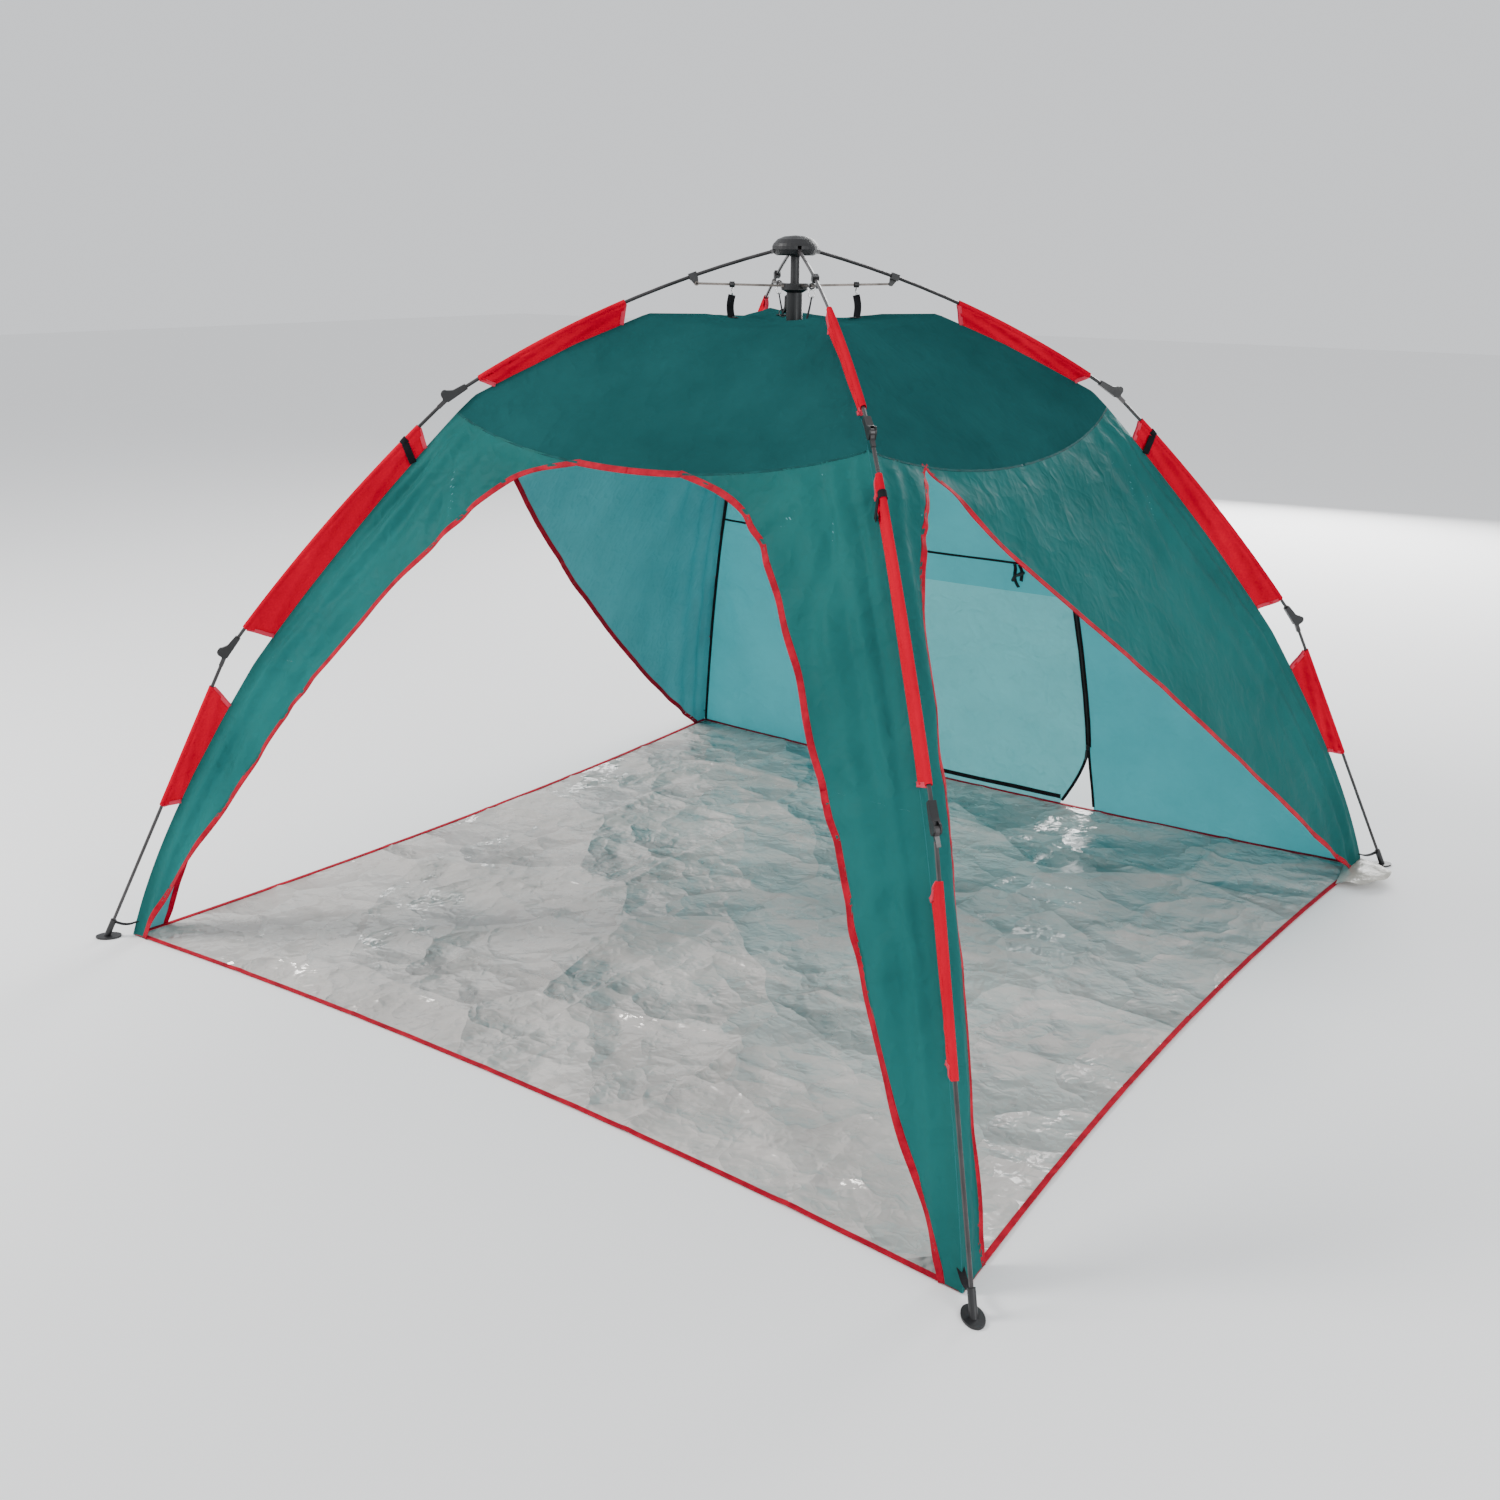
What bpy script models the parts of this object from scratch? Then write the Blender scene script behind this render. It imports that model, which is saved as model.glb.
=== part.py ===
"""Pop-up beach shelter: an umbrella hub with four three-section folding legs that hold up a sewn canopy with
an arched front, two open sides, a back wall with a zipped door, and a groundsheet.

Metres, +Z up. The origin is on the ground under the hub, and the arched front faces -Y. Each leg stands in a
vertical plane through the Z axis. A leg's pieces are modelled once in the leg's own frame (x outward from the
hub, y sideways, z up) and the four legs share their meshes.
"""

from math import atan2, cos, pi, radians, sin, sqrt

import bmesh
import bpy
from mathutils import Matrix, Vector

# ---- driving dimensions -------------------------------------------------------------------------------------
FOOT_R = 1.98            # centre of the shelter to a foot
ROOT_R, ROOT_Z = 0.040, 1.900      # hinge of an upper pole in the hub
KNEE1_R, KNEE1_Z = 0.942, 1.512    # upper knee, where the pole axes meet
KNEE2_R, KNEE2_Z = 1.579, 0.825    # lower knee
FOOT_Z = 0.012           # where the lower pole's axis meets the foot

POLE_R = 0.00475         # fibreglass pole
UPPER_BOW, MIDDLE_BOW = 0.040, 0.020   # how far the upper and middle poles bow outward
GAP = 0.0003             # gap between touching pieces
BORE_GAP = 0.0005        # round the poles, which are slightly bowed

HUB_CAP_R, HUB_CAP_H = 0.0625, 0.036
HUB_SKIRT = 0.016        # depth of the cap below the hinges
POST_R, POST_END = 0.0125, 0.155   # post under the cap, and its end below the hinges
RUNNER_R, RUNNER_BORE = 0.022, 0.0133
RUNNER_TOP, RUNNER_BASE = 0.088, 0.196   # below the hinges
STRUT_ROOT_R, STRUT_ROOT_DROP = 0.030, 0.094   # strut hinge in the runner
STRUT_TIP_R, STRUT_TIP_DROP = 0.270, 0.089     # strut hinge at the pole bracket
STRUT_EYE_R, STRUT_T = 0.006, 0.006   # eye radius and thickness of a strut's flat bar
STRUT_SIDE = 0.0125      # the strut lies this far beside its pole's middle

PIVOT_OFFSET = 0.013     # knee pin, outward from the pole axes
EYE_R = 0.008            # round end of a knee tongue
PIN_R = 0.0025
HOLE_GAP, EYE_GAP = 0.0004, 0.0008   # round a pin in its hole, and round a tongue's eye in its fork
TONGUE_T = 2 * POLE_R    # thickness of a tongue
TONGUE_WALL = 0.0009     # a tongue is this much higher than its pole on each side
SLOT_GAP = 0.00035       # beside a tongue in its slot
CHEEK_T = 0.0034         # fork's cheek beside the slot
SOCKET_L = 0.060         # length of a fork behind its pin
FOLD_ROOM, FOLD_DEPTH = 0.0165, 0.0065   # slot behind and below the pin, for the folded tongue
NECK_L = 0.034           # length of a knee tongue
ROOT_EYE_R, ROOT_NECK_L = 0.0075, 0.028   # tongue of an upper pole in the hub
NECK_OVERLAP = 0.012     # pole end moulded into its tongue
INSERT_L = 0.030         # pole end inside a socket
CANT = 6.0               # degrees: the lower knee's pin leans so that the folded leg lies beside its knee

FOOT_LONG, FOOT_WIDE, FOOT_T = 0.071, 0.045, 0.005
FOOT_SOCKET_R, FOOT_SOCKET_L = 0.0085, 0.045
FOOT_BORE_END = 0.010    # end of the lower pole, above its foot's centre

# Canopy corner line in a leg's plane, below the poles.
ROOF_MID_Z = 1.690
STRAP_R, STRAP_Z = 0.170, 1.722
EAVE_R, EAVE_Z = 0.400, 1.726
RIDGE1_R, RIDGE1_Z = 0.915, 1.478
RIDGE2_R, RIDGE2_Z = 1.505, 0.798
HEM_R, HEM_Z = 1.912, 0.003
SEAM_SAG = 0.093         # the eave seam hangs this much lower at mid-side than at the knees
CLOTH_T = 0.0012
SHEET_T = 0.0015
SHEET_HALF = 1.345       # groundsheet, corner to middle line
SHEET_CURVE = 0.055      # its edges curve in by this at mid-side
RIDGE_GAP = 0.004        # between wall panels at a corner
SEAM_GAP = 0.003         # below the eave seam

# Half width of the front arch at a share of the height of the eave seam's middle.
ARCH = ((0.0, 1.310), (0.05, 1.280), (0.325, 1.030), (0.505, 0.890), (0.65, 0.745), (0.737, 0.660), (0.83, 0.550),
        (0.931, 0.420), (0.989, 0.285), (1.0, 0.200))
STRIP_W = 0.100          # side strip of a front column, beside its pole
DOOR_LEFT, DOOR_RIGHT, DOOR_TOP = -0.45, 0.42, 0.860
ZIP_LOW, ZIP_OFFSET = 0.250, 0.0055   # height of the zip slider at rest, and its distance inside the wall
# Pole sleeve: thickness, gaps to the canopy and to the pole, end slant.
SLEEVE_T, SLEEVE_GAP, SLEEVE_POLE_GAP, SLEEVE_SLANT = 0.004, 0.003, 0.002, 0.030
SLEEVE_SPANS = {"upper": (0.45, 0.90), "middle": (0.12, 0.90), "lower": (0.12, 0.52)}
STRAP_SPAN = 0.60        # where the roof strap hangs on the strut, as a share of its length
STRAP_W, STRAP_T, STRAP_DROP = 0.020, 0.0018, 0.0045   # roof strap, and its top below the strut

LEGS = {"front_left": 225, "front_right": 315, "rear_right": 45, "rear_left": 135}
SIDES = {"front": 270, "right": 0, "back": 90, "left": 180}

for old in list(bpy.data.objects):
    bpy.data.objects.remove(old)
shelter = bpy.data.collections.new("beach_shelter")
bpy.context.scene.collection.children.link(shelter)


# ---- materials ----------------------------------------------------------------------------------------------
def material(name, colour, roughness, metallic=0.0):
    mat = bpy.data.materials.new(name)
    mat.use_nodes = True
    shader = mat.node_tree.nodes["Principled BSDF"]
    shader.inputs["Base Color"].default_value = (*colour, 1)
    shader.inputs["Roughness"].default_value = roughness
    shader.inputs["Metallic"].default_value = metallic
    mat.diffuse_color = (*colour, 1)
    return mat


PLASTIC = material("black_plastic", (0.02, 0.02, 0.022), 0.45)
POLE = material("fibreglass", (0.025, 0.022, 0.022), 0.35)
STEEL = material("strut_steel", (0.16, 0.14, 0.13), 0.40, 0.9)
ROOF_CLOTH = material("teal_cloth", (0.02, 0.16, 0.16), 0.75)
SLEEVE_CLOTH = material("red_cloth", (0.70, 0.01, 0.04), 0.70)
SHEET_FILM = material("silver_sheet", (0.45, 0.45, 0.47), 0.30)
WEBBING = material("black_webbing", (0.015, 0.015, 0.015), 0.80)


# ---- mesh helpers -------------------------------------------------------------------------------------------
def evaluated_mesh(obj):
    """The object's mesh with its modifiers, moved to its place; the object itself is removed."""
    bpy.context.view_layer.update()
    graph = bpy.context.evaluated_depsgraph_get()
    mesh = bpy.data.meshes.new_from_object(obj.evaluated_get(graph))
    mesh.transform(obj.matrix_world)
    bpy.data.objects.remove(obj)
    return mesh


def temporary(data):
    obj = bpy.data.objects.new("work", data)
    bpy.context.scene.collection.objects.link(obj)
    return obj


def weld(mesh):
    """Merges doubled points and turns the faces outward."""
    bm = bmesh.new()
    bm.from_mesh(mesh)
    bmesh.ops.remove_doubles(bm, verts=bm.verts, dist=1e-6)
    bmesh.ops.recalc_face_normals(bm, faces=bm.faces)
    if bm.calc_volume(signed=True) < 0:
        bmesh.ops.reverse_faces(bm, faces=bm.faces)
    bm.to_mesh(mesh)
    bm.free()
    return mesh


def boolean(base, other, operation):
    obj, tool = temporary(base), temporary(other)
    mod = obj.modifiers.new(operation.lower(), "BOOLEAN")
    mod.operation = operation
    mod.object = tool
    mesh = evaluated_mesh(obj)
    bpy.data.objects.remove(tool)
    return weld(mesh)


def cut(base, other):
    return boolean(base, other, "DIFFERENCE")


def join(base, other):
    return boolean(base, other, "UNION")


def plate(outline, thickness, frame):
    """A flat outline in the frame's XY plane, thick along its Z."""
    curve = bpy.data.curves.new("outline", "CURVE")
    curve.dimensions = "2D"
    curve.fill_mode = "BOTH"
    curve.extrude = thickness / 2
    spline = curve.splines.new("POLY")
    spline.points.add(len(outline) - 1)
    for point, (x, y) in zip(spline.points, outline):
        point.co = (x, y, 0, 1)
    spline.use_cyclic_u = True
    obj = temporary(curve)
    obj.matrix_world = frame
    return weld(evaluated_mesh(obj))


def rod(start, end, radius, sides=16):
    """A straight round bar between two points."""
    start, end = Vector(start), Vector(end)
    bm = bmesh.new()
    bmesh.ops.create_cone(bm, cap_ends=True, segments=sides, radius1=radius, radius2=radius,
                          depth=(end - start).length)
    turn = (end - start).to_track_quat("Z", "X").to_matrix().to_4x4()
    bmesh.ops.transform(bm, matrix=Matrix.Translation((start + end) / 2) @ turn, verts=bm.verts)
    mesh = bpy.data.meshes.new("rod")
    bm.to_mesh(mesh)
    bm.free()
    return mesh


def box(low, high, frame=None):
    low, high = Vector(low), Vector(high)
    bm = bmesh.new()
    bmesh.ops.create_cube(bm, size=1)
    size = Matrix.Diagonal((*(high - low), 1))
    bmesh.ops.transform(bm, matrix=Matrix.Translation((low + high) / 2) @ size, verts=bm.verts)
    mesh = bpy.data.meshes.new("box")
    bm.to_mesh(mesh)
    bm.free()
    if frame is not None:
        mesh.transform(frame)
    return mesh


def tube(points, radius):
    """A solid bar along a line of points."""
    curve = bpy.data.curves.new("line", "CURVE")
    curve.dimensions = "3D"
    curve.bevel_depth = radius
    curve.bevel_resolution = 2
    curve.use_fill_caps = True
    spline = curve.splines.new("POLY")
    spline.points.add(len(points) - 1)
    for point, co in zip(spline.points, points):
        point.co = (*co, 1)
    return weld(evaluated_mesh(temporary(curve)))


def turned(profile, steps=32):
    """A solid of revolution about Z; the profile runs from top to bottom on its outer side."""
    mesh = bpy.data.meshes.new("profile")
    mesh.from_pydata([(r, 0, z) for r, z in profile], [(i, i + 1) for i in range(len(profile) - 1)], [])
    obj = temporary(mesh)
    screw = obj.modifiers.new("turn", "SCREW")
    screw.steps = screw.render_steps = steps
    screw.use_merge_vertices = True
    screw.merge_threshold = 0.00001
    return weld(evaluated_mesh(obj))


def shell(rows, thickness, skip=()):
    """A sheet through rows of points, made solid. skip lists (row, column) cells that stay open."""
    width = len(rows[0])
    points = [p for row in rows for p in row]
    faces = []
    for i in range(len(rows) - 1):
        for j in range(width - 1):
            if (i, j) not in skip:
                a = i * width + j
                faces.append((a, a + 1, a + width + 1, a + width))
    mesh = bpy.data.meshes.new("sheet")
    mesh.from_pydata(points, [], faces)
    bm = bmesh.new()
    bm.from_mesh(mesh)
    bmesh.ops.remove_doubles(bm, verts=bm.verts, dist=1e-5)
    bmesh.ops.delete(bm, geom=[v for v in bm.verts if not v.link_faces], context="VERTS")
    bmesh.ops.recalc_face_normals(bm, faces=bm.faces)
    bm.to_mesh(mesh)
    bm.free()
    obj = temporary(mesh)
    solid = obj.modifiers.new("thickness", "SOLIDIFY")
    solid.thickness = thickness
    solid.offset = 0
    solid.use_even_offset = True
    return evaluated_mesh(obj)


def place(name, mesh, mat, pivot=(0, 0, 0), turn=0.0):
    """An object whose origin is the pivot; mesh is in the leg's frame, which is turned about Z."""
    if not mesh.get("centred"):
        mesh.transform(Matrix.Translation(-Vector(pivot)))
        mesh["centred"] = True
    mesh.shade_smooth()
    mesh.set_sharp_from_angle(angle=radians(35))
    if not mesh.materials:
        mesh.materials.append(mat)
    obj = bpy.data.objects.new(name, mesh)
    spin = Matrix.Rotation(radians(turn), 4, "Z")
    obj.matrix_world = spin @ Matrix.Translation(pivot)
    shelter.objects.link(obj)
    return obj


# ---- leg geometry -------------------------------------------------------------------------------------------
ROOT = Vector((ROOT_R, 0, ROOT_Z))
KNEE1 = Vector((KNEE1_R, 0, KNEE1_Z))
KNEE2 = Vector((KNEE2_R, 0, KNEE2_Z))
FOOT = Vector((FOOT_R, 0, FOOT_Z))
SECTIONS = {"upper": (ROOT, KNEE1, UPPER_BOW), "middle": (KNEE1, KNEE2, MIDDLE_BOW), "lower": (KNEE2, FOOT, 0.0)}


def length_of(section):
    start, end, _ = SECTIONS[section]
    return (end - start).length


def pole_at(section, far):
    """Point and direction of a pole's axis at a distance from its upper end; it bows outward evenly."""
    start, end, bow = SECTIONS[section]
    along = (end - start).normalized()
    out = Vector((-along.z, 0, along.x))
    share = far / length_of(section)
    point = start + along * far + out * 4 * bow * share * (1 - share)
    slope = 4 * bow * (1 - 2 * share) / length_of(section)
    return point, (along + out * slope).normalized()


def frame_at(origin, direction, cant=0.0):
    """X along the direction, Y outward, Z sideways; cant leans Z about Y."""
    x = direction.normalized()
    y = Vector((-x.z, 0, x.x))
    frame = Matrix((x, y, x.cross(y))).transposed().to_4x4()
    return Matrix.Translation(origin) @ frame @ Matrix.Rotation(radians(cant), 4, "Y")


def tongue_frame(section, cant=0.0):
    """Frame of the fitting at a pole's upper end, at the point where it meets the section above."""
    return frame_at(SECTIONS[section][0], pole_at(section, NECK_L)[1], cant)


def socket_frame(section):
    """Frame of the fitting at a pole's lower end; the pole lies along its X axis where it is inserted."""
    reach = SOCKET_L - INSERT_L / 2
    point, direction = pole_at(section, length_of(section) - reach)
    return frame_at(point + direction * reach, direction)


def arc(centre, radius, start, end, steps):
    span = [radians(start + (end - start) * i / steps) for i in range(steps + 1)]
    return [(centre[0] + radius * cos(a), centre[1] + radius * sin(a)) for a in span]


def pole_tube(section, skip_start, skip_end, steps):
    span = length_of(section) - skip_start - skip_end
    return tube([pole_at(section, skip_start + span * i / steps)[0] for i in range(steps + 1)], POLE_R)


def knee_fork(before, after, cant=0.0):
    """Fork with its pin on the lower end of one section, where the next one hinges."""
    own, turned_frame = socket_frame(before), tongue_frame(after, cant)
    e = PIVOT_OFFSET
    outline = [(-SOCKET_L, -0.0075), (0.003, -0.0095), (0.0105, -0.004), (0.0112, e)]
    outline += arc((0, e), 0.0108, 20, 150, 5)
    outline += [(-0.024, 0.0105), (-SOCKET_L, 0.0075)]
    width = TONGUE_T + 2 * (SLOT_GAP + CHEEK_T)
    body = plate(outline, width, own)
    bore = [own @ Vector((x, 0, 0)) for x in (-SOCKET_L - 0.01, -SOCKET_L + INSERT_L)]
    body = cut(body, rod(*bore, POLE_R + BORE_GAP))
    slot = TONGUE_T / 2 + SLOT_GAP
    eye = arc((0, e), EYE_R + EYE_GAP, 265, 230, 3)
    room = [(-GAP, -0.05), *eye, (-FOLD_ROOM, e - FOLD_DEPTH), (-FOLD_ROOM, 0.06), (0.06, 0.06), (0.06, -0.05)]
    body = cut(body, plate(room, 2 * slot, turned_frame))
    pin = [turned_frame @ Vector((0, e, side * (slot + CHEEK_T / 2))) for side in (-1, 1)]
    return join(body, rod(*pin, PIN_R))


def tongue(frame, offset, eye_r, neck):
    """Flat tongue on a pole's end, with an eye round the hinge pin; offset is the pin's distance from the pole."""
    half = POLE_R + TONGUE_WALL
    if offset:
        outline = [(GAP, -half), (neck, -half), (neck, half), (eye_r + 0.004, half)]
        outline += arc((0, offset), eye_r, -10, 270, 12)
    else:
        outline = [(neck, -half), (neck, half)] + arc((0, 0), eye_r, 55, 305, 12)
    body = plate(outline, TONGUE_T, frame)
    pin = [frame @ Vector((0, offset, side * TONGUE_T)) for side in (-1, 1)]
    return cut(body, rod(*pin, PIN_R + HOLE_GAP))


def upper_pole():
    socket = SOCKET_L - INSERT_L + GAP
    eye = tongue(tongue_frame("upper"), 0, ROOT_EYE_R, ROOT_NECK_L)
    return join(eye, pole_tube("upper", ROOT_NECK_L - NECK_OVERLAP, socket, 12))


def middle_pole():
    socket = SOCKET_L - INSERT_L + GAP
    eye = tongue(tongue_frame("middle"), PIVOT_OFFSET, EYE_R, NECK_L)
    return join(eye, pole_tube("middle", NECK_L - NECK_OVERLAP, socket, 10))


def lower_pole():
    eye = tongue(tongue_frame("lower", CANT), PIVOT_OFFSET, EYE_R, NECK_L)
    return join(eye, pole_tube("lower", NECK_L - NECK_OVERLAP, FOOT_BORE_END, 2))


def strut_ends():
    """Hinge centres of a strut, which lies beside its pole."""
    return (Vector((STRUT_ROOT_R, STRUT_SIDE, ROOT_Z - STRUT_ROOT_DROP)),
            Vector((STRUT_TIP_R, STRUT_SIDE, ROOT_Z - STRUT_TIP_DROP)))


def strut():
    """Flat bar with an eye at each end."""
    root, tip = strut_ends()
    frame = frame_at(root, tip - root)
    length = (tip - root).length
    outline = arc((0, 0), STRUT_EYE_R, 30, 330, 12) + arc((length, 0), STRUT_EYE_R, -150, 150, 12)
    body = plate(outline, STRUT_T, frame)
    for x in (0, length):
        hole = [frame @ Vector((x, 0, side * STRUT_T)) for side in (-1, 1)]
        body = cut(body, rod(*hole, PIN_R + HOLE_GAP))
    return body


def pole_bracket():
    """Clamp round the upper pole, with one lug beside the strut's eye."""
    tip = strut_ends()[1]
    start, end, _ = SECTIONS["upper"]
    far = (tip - start).dot((end - start).normalized())
    frame = frame_at(*pole_at("upper", far))
    half, thick = 0.011, 0.0085
    lug_t, lug_gap = 0.0043, 0.0005
    eye = frame.inverted() @ tip
    body = box((-half, -thick, -thick), (half, thick, thick), frame)
    lug = [(-half, -0.006), (half, -0.006), (eye.x + 0.006, eye.y)] + arc((eye.x, eye.y), 0.006, -20, -180, 6)
    lug_frame = frame @ Matrix.Translation((0, 0, lug_t / 2 + lug_gap + STRUT_T / 2 - STRUT_SIDE))
    body = join(body, plate(lug, lug_t, lug_frame))
    bore = [frame @ Vector((x, 0, 0)) for x in (-0.03, 0.03)]
    return cut(body, rod(*bore, POLE_R + BORE_GAP))


def foot():
    """Oval ground plate with a leaning socket for the lower pole."""
    up = (KNEE2 - FOOT).normalized()
    disc = rod((FOOT_R, 0, 0), (FOOT_R, 0, FOOT_T), FOOT_LONG / 2, 24)
    squeeze = Matrix.Diagonal((1, FOOT_WIDE / FOOT_LONG, 1, 1))
    disc.transform(squeeze)
    socket = rod(FOOT - up * 0.02, FOOT + up * FOOT_SOCKET_L, FOOT_SOCKET_R)
    body = join(disc, socket)
    ground = box((FOOT_R - 0.2, -0.1, -0.1), (FOOT_R + 0.2, 0.1, 0))
    body = cut(body, ground)
    return cut(body, rod(FOOT + up * (FOOT_BORE_END - GAP), FOOT + up * 0.1, POLE_R + BORE_GAP))


def sleeve(section, span, ridge):
    """Flat cloth web between a pole section and the canopy's corner line, with slanted ends."""
    start, end, _ = SECTIONS[section]
    frame = frame_at(start, end - start)
    inverse = frame.inverted()
    seam_a, seam_b = [inverse @ Vector((r, 0, z)) for r, z in ridge]
    low, high = [share * length_of(section) for share in span]

    def seam_y(x):
        share = (x - seam_a.x) / (seam_b.x - seam_a.x)
        return seam_a.y + (seam_b.y - seam_a.y) * share + SLEEVE_GAP

    steps = 6
    top = []
    for i in range(steps + 1):
        pole = inverse @ pole_at(section, low + (high - low) * i / steps)[0]
        top.append((pole.x, pole.y - POLE_R - SLEEVE_POLE_GAP))
    ends = [high - SLEEVE_SLANT, low + SLEEVE_SLANT]
    return plate(top + [(x, seam_y(x)) for x in ends], SLEEVE_T, frame)


def roof_strap():
    """Webbing that hangs from a strut and holds up the roof."""
    root, tip = strut_ends()
    top = root.lerp(tip, STRAP_SPAN)
    z_low = STRAP_Z + 0.006
    side = Vector((STRAP_W / 2, STRAP_T / 2, 0))
    low, high = Vector((top.x, top.y, z_low)), Vector((top.x, top.y, top.z - STRAP_DROP))
    return box(low - side, high + side)


# ---- hub ----------------------------------------------------------------------------------------------------
def radial(mesh_maker):
    """The same cutter or pin for each leg."""
    for turn in LEGS.values():
        mesh = mesh_maker()
        mesh.transform(Matrix.Rotation(radians(turn), 4, "Z"))
        yield mesh


def hub():
    top, low = ROOT_Z + HUB_CAP_H, ROOT_Z - HUB_SKIRT
    profile = [(0, top), (0.030, top - 0.003), (0.048, top - 0.010), (0.059, top - 0.021),
               (HUB_CAP_R, top - 0.028), (HUB_CAP_R, top - 0.036), (0.057, low + 0.004), (0.050, low),
               (POST_R + 0.003, low), (POST_R, low - 0.004), (POST_R, ROOT_Z - POST_END), (0, ROOT_Z - POST_END)]
    body = turned(profile)
    slot = TONGUE_T / 2 + SLOT_GAP
    for cutter in radial(lambda: box((ROOT_R - 0.009, -slot, ROOT_Z - 0.04), (0.09, slot, ROOT_Z + 0.009))):
        body = cut(body, cutter)
    for pin in radial(lambda: rod((ROOT_R, -slot - 0.002, ROOT_Z), (ROOT_R, slot + 0.002, ROOT_Z), PIN_R)):
        body = join(body, pin)
    return body


def runner():
    top, low = ROOT_Z - RUNNER_TOP, ROOT_Z - RUNNER_BASE
    lug_r = STRUT_ROOT_R + 0.007
    profile = [(RUNNER_BORE, top), (lug_r, top), (lug_r, top - 0.016), (RUNNER_R, top - 0.024),
               (RUNNER_R, low + 0.010), (RUNNER_R - 0.003, low), (RUNNER_BORE, low), (RUNNER_BORE, top)]
    body = turned(profile)
    slot = STRUT_T / 2 + SLOT_GAP
    root = strut_ends()[0]
    inner = root.x - 0.0068
    near, far = root.y - slot, root.y + slot
    for cutter in radial(lambda: box((inner, near, root.z - 0.0068), (0.09, far, top + 0.02))):
        body = cut(body, cutter)
    for pin in radial(lambda: rod((root.x, near - 0.002, root.z), (root.x, far + 0.002, root.z), PIN_R)):
        body = join(body, pin)
    return body


def release_lever():
    """Thumb lever on the runner's left side; its pivot is at the top."""
    x = -RUNNER_R - 0.0012
    top = ROOT_Z - RUNNER_TOP - 0.030
    outline = [(0, 0), (-0.006, -0.004), (-0.007, -0.030), (-0.013, -0.046), (-0.011, -0.049), (-0.002, -0.036)]
    frame = Matrix.Translation((x, 0, top)) @ Matrix.Rotation(pi / 2, 4, "X")
    return plate(outline, 0.012, frame)


# ---- cloth --------------------------------------------------------------------------------------------------
def between(stops, place_on):
    """The value at a place on a broken line of (place, value) stops."""
    for (start, low), (end, high) in zip(stops, stops[1:]):
        if place_on <= end:
            break
    return low + (high - low) * (place_on - start) / (end - start)


def ridge_r(z):
    """Distance of the canopy's corner line from the Z axis at a height below the eave."""
    return between([(HEM_Z, HEM_R), (RIDGE2_Z, RIDGE2_R), (RIDGE1_Z, RIDGE1_R)], z)


def half_width(z):
    return ridge_r(z) / sqrt(2)


def seam_z(share):
    """Height of the eave seam; share runs from 0 at mid-side to 1 at the knee."""
    return RIDGE1_Z - SEAM_SAG * (1 - min(1.0, abs(share)) ** 2)


SEAM_MID = RIDGE1_Z - SEAM_SAG


def on_wall(side, x, z):
    """A point on a side's wall: x runs to the right seen from inside, z is the height at mid-side.

    Rows near the top rise toward the knees, as the eave seam does; rows near the ground curve in with the
    groundsheet's edge."""
    share = x / half_width(z)
    level = max(0.0, (z - HEM_Z) / (SEAM_MID - HEM_Z))
    height = z + level ** 4 * (seam_z(share) - SEAM_MID - SEAM_GAP)
    hollow = SHEET_CURVE * (1 - share ** 2) * (1 - level) ** 6
    spin = Matrix.Rotation(radians(SIDES[side]), 4, "Z")
    return spin @ Vector((half_width(height) - hollow, share * half_width(height), height))


def arch_x(z):
    """Half width of the arched front at a height."""
    return between(ARCH, z / SEAM_MID)


def strip_edge(z):
    """Width of a front column's side strip at a height; it widens to the top of the side opening."""
    share = max(0.0, (z - 0.85) / (SEAM_MID - 0.85))
    return STRIP_W + 0.137 * share ** 2


def heights(low, high, steps, crowd=1.0):
    """Evenly spaced heights; crowd above 1 brings them closer together toward the top."""
    return [low + (high - low) * (1 - (1 - i / steps) ** crowd) for i in range(steps + 1)]


def front_column(hand):
    """Column between the arch and the side opening, round a front corner. hand is -1 left, +1 right."""
    side = "right" if hand > 0 else "left"
    rows = []
    for z in heights(HEM_Z, SEAM_MID, 16, 1.5):
        row = []
        corner = half_width(z) - 0.001
        for i in range(4):
            x = hand * (arch_x(z) + (corner - arch_x(z)) * i / 3)
            row.append(on_wall("front", x, z))
        edge = strip_edge(z)
        for i in (1, 2):
            x = -hand * (corner - edge * i / 2)
            row.append(on_wall(side, x, z))
        rows.append(row)
    return shell(rows, CLOTH_T)


def wing(hand):
    """Side panel from the rear pole to the slanting edge of the side opening."""
    side = "right" if hand > 0 else "left"
    rows = []
    for z in heights(HEM_Z + 0.02, SEAM_MID, 12):
        rear = half_width(z) - RIDGE_GAP
        front_top = -(half_width(SEAM_MID) - strip_edge(SEAM_MID)) + 0.012
        share = (z - HEM_Z) / (SEAM_MID - HEM_Z)
        front = (half_width(HEM_Z) - 0.06) + (front_top - half_width(HEM_Z) + 0.06) * share
        row = []
        for i in range(7):
            x = hand * (front + (rear - front) * i / 6)
            row.append(on_wall(side, x, z))
        rows.append(row)
    return shell(rows, CLOTH_T)


def back_columns(z):
    """Places of the back wall's columns: the door's edges are two of them. x runs to the viewer's right."""
    reach = half_width(z) - RIDGE_GAP
    left = [-reach + (DOOR_LEFT + reach) * i / 4 for i in range(5)]
    middle = [DOOR_LEFT + (DOOR_RIGHT - DOOR_LEFT) * i / 4 for i in range(1, 4)]
    right = [DOOR_RIGHT + (reach - DOOR_RIGHT) * i / 4 for i in range(5)]
    return left + middle + right


def back_wall():
    low = heights(HEM_Z, DOOR_TOP, 6)
    high = heights(DOOR_TOP, SEAM_MID, 5)[1:]
    rows = [[on_wall("back", -x, z) for x in back_columns(z)] for z in low + high]
    door = {(i, j) for i in range(len(low) - 1) for j in range(4, 8)}
    return shell(rows, CLOTH_T, door)


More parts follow.
